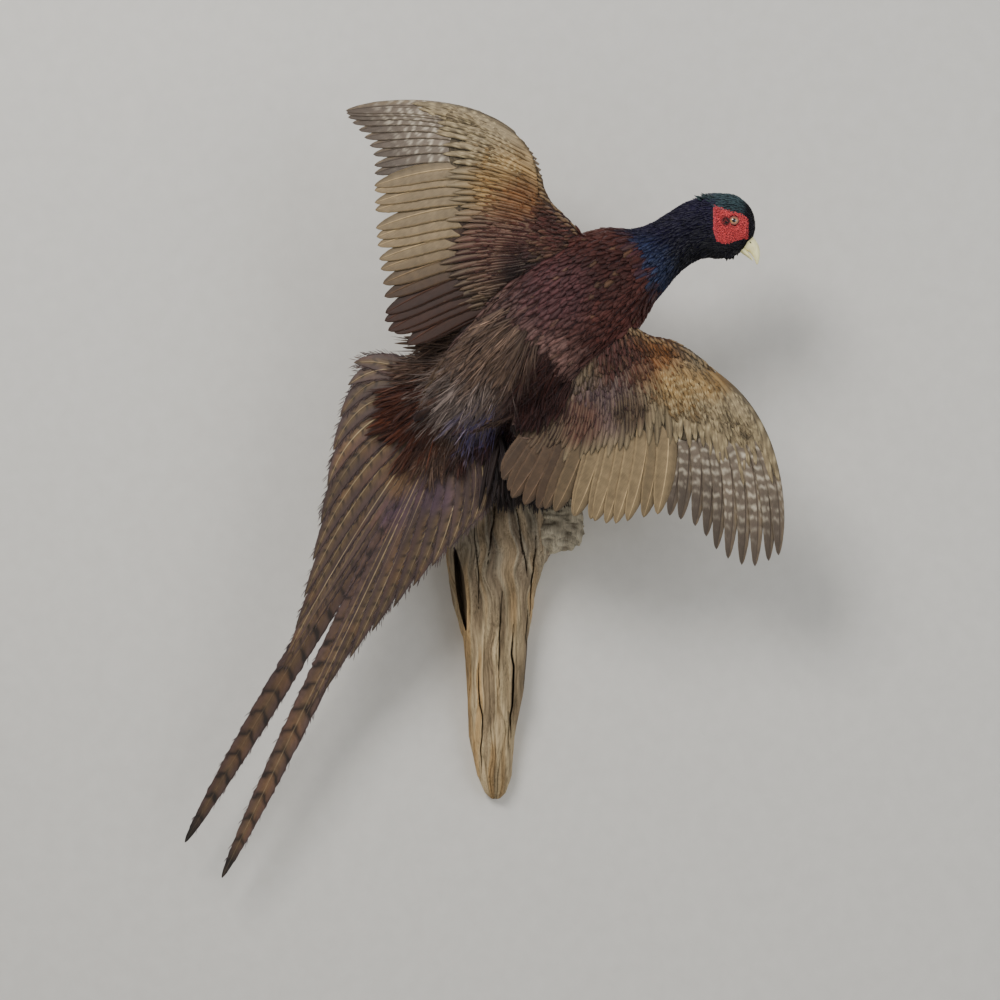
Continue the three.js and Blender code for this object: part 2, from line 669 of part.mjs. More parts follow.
const { x: hangerX, z: hangerZ, length: hangerLength, width: hangerWidth, recess } = HANGER;
const recessBox = box([hangerLength + 6, 2 * recess, hangerWidth + 6], [hangerX, 0, hangerZ]);
const CRACKS = [
  { x: 1, top: -30, bottom: -132, lean: -2, opening: 3.4, depth: 12, surface: 42 },
  { x: -52, top: 34, bottom: -24, lean: 5, opening: 6, depth: 26, surface: 40 },
  { x: -20, top: 92, bottom: 10, lean: -6, opening: 2.6, depth: 7, surface: 66 },
];
const driftwood = CRACKS.reduce((solid, one) => solid.subtract(crack(one)), wood());
place('driftwood', driftwood.subtract(recessBox), '#76614a', 0.9);
place('hanger', hanger(), '#8d8c88', 0.35, 1);

export default group;
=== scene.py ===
"""A taxidermy pheasant with spread wings on a driftwood mount, dressed over its solids.

Lengths are in millimetres until a mesh is made. X is to the right, Z is up, and the wall
is at y = 0 with the bird in front of it, towards -Y. The bird's back faces the viewer.
"""
import json
import math

import bpy
import numpy as np
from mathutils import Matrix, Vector
from mathutils.bvhtree import BVHTree

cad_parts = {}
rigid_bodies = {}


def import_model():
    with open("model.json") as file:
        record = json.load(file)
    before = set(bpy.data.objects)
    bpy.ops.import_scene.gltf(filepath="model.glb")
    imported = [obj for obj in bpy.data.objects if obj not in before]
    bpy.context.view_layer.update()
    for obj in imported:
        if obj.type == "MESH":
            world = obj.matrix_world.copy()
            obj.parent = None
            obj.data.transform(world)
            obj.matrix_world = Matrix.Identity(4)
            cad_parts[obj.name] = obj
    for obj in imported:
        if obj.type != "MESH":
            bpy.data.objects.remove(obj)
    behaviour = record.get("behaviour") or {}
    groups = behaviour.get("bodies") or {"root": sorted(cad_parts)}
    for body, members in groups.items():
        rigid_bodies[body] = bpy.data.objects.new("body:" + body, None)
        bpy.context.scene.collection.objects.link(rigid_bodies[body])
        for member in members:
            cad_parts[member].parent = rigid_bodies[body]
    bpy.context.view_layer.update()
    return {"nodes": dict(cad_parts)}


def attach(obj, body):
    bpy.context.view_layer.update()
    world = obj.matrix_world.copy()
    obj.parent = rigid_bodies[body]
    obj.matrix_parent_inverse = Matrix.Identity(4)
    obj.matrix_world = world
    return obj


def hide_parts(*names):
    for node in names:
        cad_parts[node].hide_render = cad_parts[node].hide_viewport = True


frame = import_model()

MM = 0.001
VIEWER = np.array([0.0, -1.0, 0.0])

# ------------------------------------------------------------ sizes, as in the solids

# The body's centre line from the tail to the forehead.
BODY_LINE = np.array([
    (-88, -130, 170), (-66, -136, 189), (-36, -142, 213), (0, -147, 243), (38, -151, 274),
    (76, -152, 303), (105, -151, 323), (129, -150, 335.5), (149, -149, 348.5),
    (169, -150, 361), (187, -151, 367.5), (203, -151, 369), (216, -151, 369.4),
    (223.5, -151, 369.4), (229.5, -151, 369.3), (233.5, -151, 369.2), (235.6, -151, 369.2),
], float)
HEAD_MIDDLE = -151
EYE = np.array([212.8, 372.0])
EYE_RADIUS = 5.0
EYE_DEPTH = 15.1  # from the middle of the head to the middle of an eye
WATTLE_OUTLINE = np.array([
    (192.5, 387.5), (206, 382.5), (221, 379), (227.5, 374), (227.5, 355), (216, 353),
    (206, 349), (196, 351), (192.5, 362)], float)

BILL_UPPER = [(219, -151, 358, 7, 7), (226, -151, 353.5, 8.4, 6.6), (233, -151, 347.5, 6.3, 5.4),
              (236.2, -151, 340, 3.6, 3.6), (237, -151, 331.5, 0.8, 0.9)]
BILL_LOWER = [(217, -151, 350, 3, 5.4), (223, -151, 345, 2.8, 4.8), (229, -151, 339.4, 1.7, 3.4),
              (232.6, -151, 335.4, 0.6, 1.2)]

# Each wing from the front, in x and z. bow is how far the outermost primary bends, and
# inner the colour of the secondaries next to the body.
LEFT_WING = dict(
    name="left", hand=1, shoulder=(68, 345), tip=(-162, 482), bow=17, inner="#331a0d",
    leading=[(84, 318), (66, 361), (38, 391), (27, 419), (14, 443), (-6, 463), (-30, 476),
             (-52, 483)],
    secondary_roots=[(22, 306), (18, 334), (26, 362), (30, 396)],
    secondary_tips=[(-98, 257), (-122, 270), (-124, 303), (-130, 342), (-133, 378),
                    (-134, 408)],
    primary_roots=[(29, 404), (24, 426), (9, 446)],
    primary_tips=[(-134, 420), (-136, 441), (-147, 460), (-160, 476), (-163, 484)],
)
RIGHT_WING = dict(
    name="right", hand=-1, shoulder=(100, 290), tip=(258, 46), bow=25, inner="#4d3b2b",
    leading=[(66, 322), (112, 279), (130, 264), (150, 259), (173, 247), (195, 227),
             (214, 203), (231, 178)],
    secondary_roots=[(40, 200), (66, 210), (94, 226), (120, 245)],
    secondary_tips=[(-10, 128), (2, 103), (36, 93), (67, 86), (98, 80), (138, 89)],
    primary_roots=[(127, 247), (157, 243), (184, 230)],
    primary_tips=[(152, 88), (180, 76), (204, 50), (234, 38), (260, 49)],
)
WINGS = (LEFT_WING, RIGHT_WING)
FLIGHT_COUNTS = dict(secondary=17, primary=10)

# The curved sheet that a wing lies in: its y at the shoulder, how far it arches forward,
# falls back to the tip and to the hind edge, and the chord that this is measured by.
WING_Y = -174
WING_ARCH = 14
WING_DROOP = 44
WING_CAMBER = 20
WING_CHORD = 150

TAIL_ROOT = np.array([-68.0, -136.0, 188.0])
TAIL_FALL = 0.17  # how far the tail falls back to the wall for each millimetre from there
TAIL_BASE = [(-79, 206), (-70, 194), (-60, 184), (-44, 176)]
TAIL_LEFT = [(-156, 238), (-173, 168), (-189, 80), (-211, -10), (-232, -72)]
TAIL_MIDDLE = [(-330, -242), (-293, -278)]
TAIL_RIGHT = [(-206, -112), (-150, -40), (-98, 18), (-56, 62), (-34, 86)]
SIDE_FEATHERS = 11
TAIL_BOW = ((0, 0.08, 0.2, 0.35, 0.5, 1), (12, 28, 22, 9, 0, -15))  # from left to right

# Levels of the wood from the top down: height, left, right and how far it stands out.
WOOD = np.array([
    (106, -38, 68, 71), (97, -48, 74, 77), (84, -57, 75, 78), (56, -68, 73, 74),
    (50, -69, 42, 70), (36, -68, 33, 67), (3, -62, 25, 60), (-42, -50, 17, 53),
    (-90, -47, 13, 46), (-140, -45, 3, 38), (-180, -36, 0, 28), (-198, -28, -6, 17),
    (-204, -22, -12, 9)], float)

LEGS = (
    dict(name="left", heel=(-8, -86, 172), foot=(-14, -44), turn=-0.35),
    dict(name="right", heel=(34, -84, 172), foot=(32, -30), turn=0.1),
)
FOOT_HEIGHT = 109.1
TARSUS_RADIUS = 3.6
TOE_RADIUS = 2.8
TOES = ((-0.5, 34), (0, 42), (0.5, 32), (math.pi, 16))  # spread and length


# ------------------------------------------------------------ numbers and curves

def screen_colour(code):
    """The linear colour of a hex code."""
    srgb = np.array([int(code[place:place + 2], 16) for place in (1, 3, 5)]) / 255
    return np.where(srgb <= 0.04045, srgb / 12.92, ((srgb + 0.055) / 1.055) ** 2.4)


def smooth(low, high, value):
    """0 below low, 1 above high, and an even ramp between them."""
    share = np.clip((value - low) / (high - low), 0, 1)
    return share * share * (3 - 2 * share)


def unit(vectors):
    """Vectors made one long."""
    return vectors / np.maximum(np.linalg.norm(vectors, axis=-1, keepdims=True), 1e-9)


def square(vectors, to):
    """The part of the vectors that is square to the unit vectors `to`."""
    return vectors - to * (vectors * to).sum(-1, keepdims=True)


def circle(count):
    """Even angles once round."""
    return np.linspace(0, 2 * math.pi, count, endpoint=False)


def mix(first, second, share):
    """Colours between first and second, one for each share."""
    share = np.asarray(share)[..., None]
    return first * (1 - share) + second * share


def tint(colours, code, share):
    """Colours mixed with the colour of a hex code."""
    return mix(colours, screen_colour(code), share)


def spline(points, places):
    """Points at places 0 to 1 along the even Catmull-Rom curve through the points."""
    points = np.asarray(points, float)
    last = len(points) - 1
    spots = np.clip(np.asarray(places, float), 0, 1) * last
    low = np.minimum(spots.astype(int), last - 1)
    share = (spots - low)[..., None]
    before = points[np.maximum(low - 1, 0)]
    start = points[low]
    end = points[low + 1]
    after = points[np.minimum(low + 2, last)]
    leave = (end - before) / 2
    arrive = (after - start) / 2
    cubic = 2 * start - 2 * end + leave + arrive
    square = 3 * end - 3 * start - 2 * leave - arrive
    return cubic * share ** 3 + square * share ** 2 + leave * share + start


def value_noise(x, y, seed):
    """Smooth noise from 0 to 1 over a plane, one hill for each unit."""
    lattice = np.random.default_rng(seed).random((128, 128))
    column = np.floor(x).astype(int)
    row = np.floor(y).astype(int)
    across = smooth(0, 1, x - column)
    up = smooth(0, 1, y - row)
    corner = lambda step, rise: lattice[(row + rise) % 128, (column + step) % 128]
    bottom = corner(0, 0) * (1 - across) + corner(1, 0) * across
    top = corner(0, 1) * (1 - across) + corner(1, 1) * across
    return bottom * (1 - up) + top * up


# ------------------------------------------------------------ making meshes

def make_mesh(name, vertices, quads, triangles=(), flat_quads=None, colours=None, maps=None):
    """A mesh from arrays. maps are UV maps, one pair for each vertex."""
    quads = np.asarray(quads, np.int32).reshape(-1, 4)
    triangles = np.asarray(triangles, np.int32).reshape(-1, 3)
    corners = np.concatenate([quads.ravel(), triangles.ravel()])
    starts = np.concatenate([
        np.arange(len(quads)) * 4,
        len(quads) * 4 + np.arange(len(triangles)) * 3])
    mesh = bpy.data.meshes.new(name)
    mesh.vertices.add(len(vertices))
    mesh.vertices.foreach_set("co", (np.asarray(vertices) * MM).astype(np.float32).ravel())
    mesh.loops.add(len(corners))
    mesh.loops.foreach_set("vertex_index", corners.astype(np.int32))
    mesh.polygons.add(len(starts))
    mesh.polygons.foreach_set("loop_start", starts.astype(np.int32))
    is_smooth = np.ones(len(starts), bool)
    if flat_quads is not None:
        is_smooth[:len(quads)] = ~flat_quads
    mesh.polygons.foreach_set("use_smooth", is_smooth)
    mesh.update(calc_edges=True)
    if colours is not None:
        layer = mesh.color_attributes.new("Plumage", "FLOAT_COLOR", "POINT")
        layer.data.foreach_set("color", colours.astype(np.float32).ravel())
    for key, places in (maps or {}).items():
        layer = mesh.uv_layers.new(name=key)
        layer.data.foreach_set("uv", places[corners].astype(np.float32).ravel())
    mesh.validate(clean_customdata=False)
    return mesh


def point_colours(count, shade, rng=None, spread=0.0):
    """Colours for a mesh's points: one shade or one for each, made uneven by spread."""
    colours = np.ones((count, 4))
    colours[:, :3] = shade
    if rng is not None:
        colours[:, :3] *= rng.uniform(1 - spread, 1 + spread, (count, 1))
    return colours


def add_piece(name, shape, material, slot, replaced=(), **looks):
    """Puts a shape (vertices, quads and triangles) in the scene as a piece of the model."""
    piece = bpy.data.objects.new(name, make_mesh(name, *shape, **looks))
    bpy.context.scene.collection.objects.link(piece)
    piece.data.materials.append(material)
    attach(piece, "root")
    if replaced:
        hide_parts(*replaced)


def tube_quads(rings, sides, tubes=1):
    """Quads round tubes, whose points are tubes x rings x sides."""
    tube, ring, side = np.meshgrid(np.arange(tubes), np.arange(rings - 1), np.arange(sides),
                                   indexing="ij")
    here = (tube * rings + ring) * sides + side
    beside = (tube * rings + ring) * sides + (side + 1) % sides
    return np.stack([here, beside, beside + sides, here + sides], -1).reshape(-1, 4)


def tube_ends(rings, sides, tubes):
    """Triangles that close the first rings of all the tubes, and then the last rings."""
    fan = np.arange(1, sides - 1)
    first = (np.arange(tubes) * rings * sides)[:, None]
    last = first + (rings - 1) * sides
    low = np.stack(np.broadcast_arrays(first, first + fan + 1, first + fan), -1)
    high = np.stack(np.broadcast_arrays(last, last + fan, last + fan + 1), -1)
    return np.concatenate([low.reshape(-1, 3), high.reshape(-1, 3)])


def loft(rings):
    """Points, quads and end caps of one tube, an array of rings x points x 3."""
    count, sides = rings.shape[:2]
    vertices = np.concatenate([rings.reshape(-1, 3), rings[[0, -1]].mean(axis=1)])
    index = np.arange(sides)
    after = (index + 1) % sides
    low_hub = np.full(sides, count * sides)
    top = (count - 1) * sides
    caps = np.concatenate([
        np.stack([low_hub, after, index], -1),
        np.stack([low_hub + 1, top + index, top + after], -1)])
    return vertices, tube_quads(count, sides), caps


def join_parts(parts):
    """One shape from several."""
    starts = np.cumsum([0] + [len(part[0]) for part in parts[:-1]])
    quads = [part[1] + start for part, start in zip(parts, starts)]
    caps = [part[2] + start for part, start in zip(parts, starts)]
    return np.concatenate([part[0] for part in parts]), np.concatenate(quads), np.concatenate(caps)


def round_rings(stations, places, sides, swell=None):
    """Rings round a line of stations (x, y, z, half width, half depth)."""
    stations = np.asarray(stations, float)
    found = spline(stations, places)
    middle = found[:, :3]
    along = unit(np.gradient(middle, axis=0))
    across = unit(np.cross(along, np.array([0, 1.0, 0]) + 1e-4))
    inwards = unit(np.cross(across, along))
    angle = circle(sides)
    size = np.ones((len(places), sides)) if swell is None else swell(places[:, None], angle[None])
    wide = (np.cos(angle)[None] * found[:, 3:4] * size)[..., None]
    deep = (np.sin(angle)[None] * found[:, 4:5] * size)[..., None]
    return middle[:, None] + across[:, None] * wide + inwards[:, None] * deep


# ------------------------------------------------------------ feathers

# Sections of a feather as (share of the half width, share of the thickness). The upper
# side comes first, then the flat underside.
SMALL_SECTION = np.array([(-1, 0), (0, 1), (1, 0)], float)
SMALL_UPPER = 2
LARGE_SECTION = np.array([
    (-1, 0), (-0.82, 0.34), (-0.6, 0.4), (-0.36, 0.42), (-0.16, 0.46), (-0.06, 0.5),
    (-0.04, 1.0), (0, 1.3), (0.04, 1.0), (0.06, 0.5), (0.16, 0.46), (0.36, 0.42),
    (0.6, 0.4), (0.82, 0.34), (1, 0), (0.5, -0.4), (0, -0.9), (-0.5, -0.4)], float)
LARGE_UPPER = 14
COVERT_SECTION = np.array([
    (-1, 0), (-0.45, 0.7), (0, 1.0), (0.45, 0.7), (1, 0), (0, -0.5)], float)
COVERT_UPPER = 4
SHAFT = 0.05  # share of the half width that the shaft takes up
TUFT_PATCH = 0.003  # how much of the map OFBake a small feather covers


class Plumage:
    """Collects feathers and joins them into pieces."""

    LIMIT = 190000  # triangles in one piece

    def __init__(self, name, material, slot):
        self.name = name
        self.material = material
        self.slot = slot
        self.batches = []

    def add(self, points, section, upper, colours, roots, extent=None):
        """points is feathers x rows x places round the section x 3. roots are the places
        on the unwrapped skin. A feather wider than a tuft has its extent on that map."""
        count, rows, sides = points.shape[:3]
        across = np.broadcast_to(section[:, 0] * 0.5 + 0.5, (count, rows, sides))
        along = np.broadcast_to(np.linspace(0, 1, rows)[None, :, None], (count, rows, sides))
        vane = np.stack([across, along], -1)
        size = np.full((count, 2), TUFT_PATCH) if extent is None else extent
        patch = roots[:, None, None] + (vane - 0.5) * size[:, None, None]
        self.batches.append(dict(
            count=count, vertices=points.reshape(-1, 3), quads=tube_quads(rows, sides, count),
            triangles=tube_ends(rows, sides, count),
            flat=np.tile(np.arange(sides) >= upper, count * (rows - 1)),
            colours=colours.reshape(-1, 4), vane=vane.reshape(-1, 2),
            patch=patch.reshape(-1, 2)))

    def build(self):
        """Makes the pieces, each under the limit."""
        made = 0
        group = []
        for batch in self.split():
            size = lambda one: 2 * len(one["quads"]) + len(one["triangles"])
            if group and sum(map(size, group)) + size(batch) > self.LIMIT:
                made += 1
                self.join(group, made)
                group = []
            group.append(batch)
        if group:
            self.join(group, made + 1)

    def split(self):
        """Batches, with those above the limit cut up."""
        for batch in self.batches:
            size = 2 * len(batch["quads"]) + len(batch["triangles"])
            parts = math.ceil(size / self.LIMIT)
            edges = np.linspace(0, batch["count"], parts + 1).astype(int)
            points, quads = (len(batch[key]) // batch["count"] for key in ("vertices", "quads"))
            caps = len(batch["triangles"]) // (2 * batch["count"])
            for low, high in zip(edges[:-1], edges[1:]):
                first = low * points
                part = {key: batch[key][first:high * points]
                        for key in ("vertices", "colours", "vane", "patch")}
                ends = [half[low * caps:high * caps] for half in np.split(batch["triangles"], 2)]
                part.update(
                    count=high - low, triangles=np.concatenate(ends) - first,
                    quads=batch["quads"][low * quads:high * quads] - first,
                    flat=batch["flat"][low * quads:high * quads])
                yield part

    def join(self, group, number):
        """Makes one piece from some batches."""
        offsets = np.cumsum([0] + [len(one["vertices"]) for one in group[:-1]])
        stack = lambda key: np.concatenate([one[key] for one in group])
        shifted = lambda key: np.concatenate(
            [one[key] + offset for one, offset in zip(group, offsets)])
        shape = stack("vertices"), shifted("quads"), shifted("triangles")
        add_piece(f"{self.name}_{number}", shape, self.material, self.slot,
                  flat_quads=stack("flat"), colours=stack("colours"),
                  maps={"OFBake": stack("patch"), "Vane": stack("vane")})


def feather_colours(root, middle, tip, rows, section, seeds, edge=None):
    """Colours of a batch of feathers: root to middle to tip, and a darker or paler edge
    round the tip. The fourth number is the feather's own random seed."""
    along = np.linspace(0, 1, rows)[None, :, None]
    across = np.abs(section[:, 0])[None, None, :]
    base = mix(root[:, None, None], middle[:, None, None], smooth(0.1, 0.5, along))
    base = mix(base, tip[:, None, None], smooth(0.55, 0.95, along))
    if edge is not None:
        rim = smooth(0.72, 0.98, np.hypot(across * 0.95, along * 0.92))
        base = mix(base, edge[:, None, None], rim * smooth(0.3, 0.6, along))
    count, length, sides = np.broadcast_shapes(base.shape[:3], (len(seeds), rows, len(section)))
    coloured = np.empty((count, length, sides, 4))
    coloured[..., :3] = base
    coloured[..., 3] = seeds[:, None, None]
    return coloured


def small_vanes(centre, direction, normal, half, thick, droop=0.18, section=SMALL_SECTION):
    """Points of small feathers. centre, direction and normal are feathers x rows x 3."""
    across = unit(np.cross(direction, normal))
    wide = half[..., None] * section[:, 0]
    lift = thick * section[:, 1] - droop * np.abs(wide)
    return (centre[:, :, None]
            + across[:, :, None] * wide[..., None]
            + normal[:, :, None] * lift[..., None])


def vane_width(rows, fullest=0.45, root=0.35, tip=0.12):
    """Share of a small feather's half width along it: an oval from the root to the tip."""
    along = np.linspace(0, 1, rows)
    rise = root + (1 - root) * np.sin(math.pi / 2 * np.minimum(along / fullest, 1))
    fall = np.clip((along - fullest) / (1 - fullest), 0, 1)
    return rise * (tip + (1 - tip) * np.sqrt(np.maximum(1 - fall ** 2.4, 0)))


# ------------------------------------------------------------ materials

class Shader:
    """A material's nodes, with short calls to make and join them."""

    def __init__(self, name, **sockets):
        self.material = bpy.data.materials.new(name)
        self.material.use_nodes = True
        self.tree = self.material.node_tree
        self.principled = self.tree.nodes["Principled BSDF"]
        for key, value in sockets.items():
            self.principled.inputs[key.replace("_", " ")].default_value = value

    def node(self, kind, inputs=None, **settings):
        """A new node with its inputs joined or set."""
        made = self.tree.nodes.new(kind)
        for key, value in settings.items():
            setattr(made, key, value)
        for key, value in (inputs or {}).items():
            self.plug(value, made.inputs[key])
        return made

    def plug(self, value, socket):
        """Joins an output to a socket, or sets the socket to a plain value."""
        if isinstance(value, bpy.types.NodeSocket):
            self.tree.links.new(value, socket)
        else:
            socket.default_value = value

    def set(self, **inputs):
        """Joins or sets sockets of the surface, named with _ for each space."""
        for key, value in inputs.items():
            self.plug(value, self.principled.inputs[key.replace("_", " ")])

    def math(self, operation, first, second=0.0):
        """Arithmetic on one or two numbers."""
        return self.node("ShaderNodeMath", {0: first, 1: second}, operation=operation).outputs[0]

    def sum(self, first, first_share, second, second_share):
        """Two numbers added, each times its share."""
        return self.math("ADD", self.math("MULTIPLY", first, first_share),
                         self.math("MULTIPLY", second, second_share))

    def noise(self, vector, scale, detail, rough):
        """Noise from 0 to 1 over any coordinates."""
        return self.node("ShaderNodeTexNoise", {
            "Vector": vector, "Scale": scale, "Detail": detail, "Roughness": rough,
        }).outputs["Fac"]

    def grain(self, scale, detail, rough=0.55):
        """Noise over the object, with about `scale` hills to the metre in x, y and z."""
        where = self.node("ShaderNodeTexCoord").outputs["Object"]
        place = self.node("ShaderNodeMapping", {"Vector": where, "Scale": scale}).outputs[0]
        return self.noise(place, 1.0, detail, rough)

    def ramp(self, value, *stops):
        """Colours or greys at places from 0 to 1, with even steps between them."""
        made = self.node("ShaderNodeValToRGB", {"Fac": value})
        stops_in = made.color_ramp.elements
        while len(stops_in) < len(stops):
            stops_in.new(0.5)
        for stop, (place, shade) in zip(stops_in, stops):
            stop.position = place
            stop.color = (*np.broadcast_to(shade, 3), 1)
        return made.outputs["Color"]

    def multiply(self, first, second):
        """One colour times another."""
        return self.node("ShaderNodeMix", {"Factor": 1.0, 6: first, 7: second},
                         data_type="RGBA", blend_type="MULTIPLY").outputs[2]

    def paint(self):
        """The node that reads the colours of the mesh's points."""
        return self.node("ShaderNodeAttribute", attribute_name="Plumage")

    def bump(self, height, strength, distance):
        """Relief from a height, with its depth in metres."""
        return self.node("ShaderNodeBump", {
            "Height": height, "Strength": strength, "Distance": distance}).outputs["Normal"]


def feather_material(name, rough, sheen, tint, barbs, specular=0.35):
    """Painted by the Plumage colours, with fine barbs that slant out from the shaft."""
    shader = Shader(name, Roughness=rough, Sheen_Weight=sheen, Sheen_Roughness=0.4,
                    Sheen_Tint=(*tint, 1), Specular_IOR_Level=specular)
    paint = shader.paint()
    vane = shader.node("ShaderNodeUVMap", uv_map="Vane").outputs[0]
    split = shader.node("ShaderNodeSeparateXYZ", {0: vane})
    aside = shader.math("ABSOLUTE", shader.math("SUBTRACT", split.outputs[0], 0.5))
    slant = shader.math("SUBTRACT", shader.math("MULTIPLY", split.outputs[1], barbs),
                        shader.math("MULTIPLY", aside, barbs * 0.22))
    spot = shader.node("ShaderNodeCombineXYZ", {
        0: slant, 1: shader.math("MULTIPLY", aside, 3.0),
        2: shader.math("MULTIPLY", paint.outputs["Alpha"], 40.0)}).outputs[0]
    strands = shader.noise(spot, 2.2, 4.0, 0.7)
    patches = shader.grain((90, 90, 90), 3.0)
    tone = shader.sum(strands, 0.75, patches, 0.4)
    shade = shader.ramp(tone, (0.25, 0.45), (0.58, 1.0), (0.85, 1.5))
    shader.set(Base_Color=shader.multiply(paint.outputs["Color"], shade),
               Normal=shader.bump(strands, 0.45, 0.0006))
    return shader.material


def painted_material(name, scale, detail, tones, bump=None, **sockets):
    """The mesh's own colours under a mottle. tones are its darkest and lightest, and bump
    is its strength and depth."""
    shader = Shader(name, **sockets)
    paint = shader.paint().outputs["Color"]
    mottle = shader.grain(scale, detail)
    shade = shader.ramp(mottle, (0.3, tones[0]), (0.7, tones[1]))
    shader.set(Base_Color=shader.multiply(paint, shade))
    if bump:
        shader.set(Normal=shader.bump(mottle, *bump))
    return shader.material


def horn_material(name, pale, dark):
    """Horn of the bill and claws, with growth lines along it and darker clouds."""
    shader = Shader(name, Roughness=0.38, Coat_Weight=0.15, Coat_Roughness=0.3)
    clouds = shader.grain((110, 110, 110), 4.0)
    lines = shader.grain((900, 900, 240), 3.0)
    tone = shader.sum(clouds, 0.7, lines, 0.3)
    shader.set(Base_Color=shader.ramp(tone, (0.36, dark), (0.62, pale)),
               Roughness=shader.ramp(lines, (0.3, 0.3), (0.8, 0.53)),
               Normal=shader.bump(lines, 0.25, 0.0004))
    return shader.material


def wood_material():
    """Weathered driftwood: the mesh's own colours under fine upright grain and clouds."""
    shader = Shader("driftwood", Roughness=0.88, Specular_IOR_Level=0.2)
    paint = shader.paint().outputs["Color"]
    grain = shader.grain((620, 620, 26), 6.0, 0.65)
    fibres = shader.grain((1900, 1900, 60), 3.0, 0.6)
    clouds = shader.grain((24, 24, 11), 4.0)
    tone = shader.sum(grain, 0.65, fibres, 0.35)
    colour = shader.multiply(paint, shader.ramp(tone, (0.32, 0.34), (0.5, 0.95), (0.72, 1.4)))
    clouded = shader.multiply(colour, shader.ramp(clouds, (0.3, 0.7), (0.7, 1.2)))
    shader.set(Base_Color=clouded, Normal=shader.bump(tone, 0.7, 0.0012))
    return shader.material


def metal_material():
    """Worn, slightly rough steel."""
    shader = Shader("hanger", Metallic=1.0, Roughness=0.4)
    wear = shader.grain((300, 300, 300), 4.0)
    shader.set(Base_Color=shader.ramp(wear, (0.3, (0.28, 0.26, 0.22)), (0.7, (0.5, 0.48, 0.44))),
               Roughness=shader.ramp(wear, (0.3, 0.3), (0.7, 0.55)),
               Normal=shader.bump(wear, 0.15, 0.0003))
    return shader.material


def wall_material():
    """Pale matt paint that is clear from behind, so that the wall never hides the back."""
    shader = Shader("wall", Roughness=0.95, Specular_IOR_Level=0.1)
    grain = shader.grain((60, 60, 60), 4.0)
    shader.set(Base_Color=shader.ramp(grain, (0.3, (0.60, 0.585, 0.55)),
                                      (0.7, (0.63, 0.615, 0.58))))
    behind = shader.node("ShaderNodeNewGeometry").outputs["Backfacing"]
    clear = shader.node("ShaderNodeBsdfTransparent")
    both = shader.node("ShaderNodeMixShader", {
        0: behind, 1: shader.principled.outputs[0], 2: clear.outputs[0]})
    output = shader.tree.nodes["Material Output"]
    shader.tree.links.new(both.outputs[0], output.inputs["Surface"])
    return shader.material


BODY_FEATHER = feather_material("body_feather", 0.55, 0.08, (0.8, 0.7, 0.8), 14, 0.22)
NECK_FEATHER = feather_material("neck_feather", 0.42, 0.05, (0.35, 0.3, 1.0), 12, 0.26)
WING_FEATHER = feather_material("wing_feather", 0.6, 0.12, (1.0, 0.9, 0.8), 16)
FLIGHT_FEATHER = feather_material("flight_feather", 0.5, 0.1, (1.0, 0.92, 0.85), 110)
TAIL_FEATHER = feather_material("tail_feather", 0.5, 0.15, (0.9, 0.8, 1.0), 220)


# ------------------------------------------------------------ the skin

FLESH = ("trunk", "neck", "head", "thigh_left", "thigh_right", "wing_left_arm",
         "wing_right_arm")
SKIN_SHADE = 0.5  # the skin's colours as a share of the feathers'
COAT_DEPTH = dict(trunk=4.2, neck=3.4, head=1.3, thigh=2.6, wing=1.1)
VOXEL = 2.0


def read(items, key, kind, width):
    """A property of a mesh's items as an array, with `width` numbers for each item."""
    values = np.empty(len(items) * width, kind)
    items.foreach_get(key, values)
    return values.reshape(-1, width)


def node_mesh(name):
    """Vertices and triangles of a solid, in millimetres."""
    mesh = frame["nodes"][name].data
    mesh.calc_loop_triangles()
    vertices = read(mesh.vertices, "co", np.float32, 3).astype(float) / MM
    return vertices, read(mesh.loop_triangles, "vertices", np.int32, 3)


def tree_of(vertices, faces):
    """A search tree for rays and nearest places."""
    return BVHTree.FromPolygons(vertices.tolist(), np.asarray(faces).tolist())


def merged(meshes):
    """One mesh from several, and which of them each triangle is from."""
    offsets = np.cumsum([0] + [len(vertices) for vertices, faces in meshes[:-1]])
    vertices = np.concatenate([vertices for vertices, faces in meshes])
    faces = np.concatenate([faces + start for (_, faces), start in zip(meshes, offsets)])
    owner = np.repeat(np.arange(len(meshes)), [len(faces) for _, faces in meshes])
    return vertices, faces, owner


def nearest(tree, points):
    """Nearest places, normals and triangles on a surface."""
    found = [tree.find_nearest(point) for point in points.tolist()]
    places = np.array([tuple(one[0]) for one in found])
    normals = np.array([tuple(one[1]) for one in found])
    return places, normals, np.array([one[2] for one in found])


def make_skin():
    """One closed skin for all the flesh, inside the solids by the depth of the coat."""
    meshes = [node_mesh(name) for name in FLESH]
    vertices, faces, owner = merged(meshes)
    rough = make_mesh("rough_skin", vertices, (), faces)
    holder = bpy.data.objects.new("rough_skin", rough)
    bpy.context.scene.collection.objects.link(holder)
    remesh = holder.modifiers.new("voxels", "REMESH")
    remesh.mode = "VOXEL"
    remesh.voxel_size = VOXEL * MM
    graph = bpy.context.evaluated_depsgraph_get()
    even = bpy.data.meshes.new_from_object(holder.evaluated_get(graph))
    bpy.data.objects.remove(holder)
    bpy.data.meshes.remove(rough)

    points = read(even.vertices, "co", np.float32, 3).astype(float) / MM
    normals = read(even.vertices, "normal", np.float32, 3).astype(float)
    edges = read(even.edges, "vertices", np.int32, 2)
    quads = read(even.loops, "vertex_index", np.int32, 1)
    bpy.data.meshes.remove(even)

    part = owner[nearest(tree_of(vertices, faces), points)[2]]
    depths = np.array([COAT_DEPTH[name.split("_")[0]] for name in FLESH])
    depth = relax(depths[part][:, None], edges, 12)
    points = relax(points - normals * depth, edges, 4)
    return points, quads.reshape(-1, 4), part


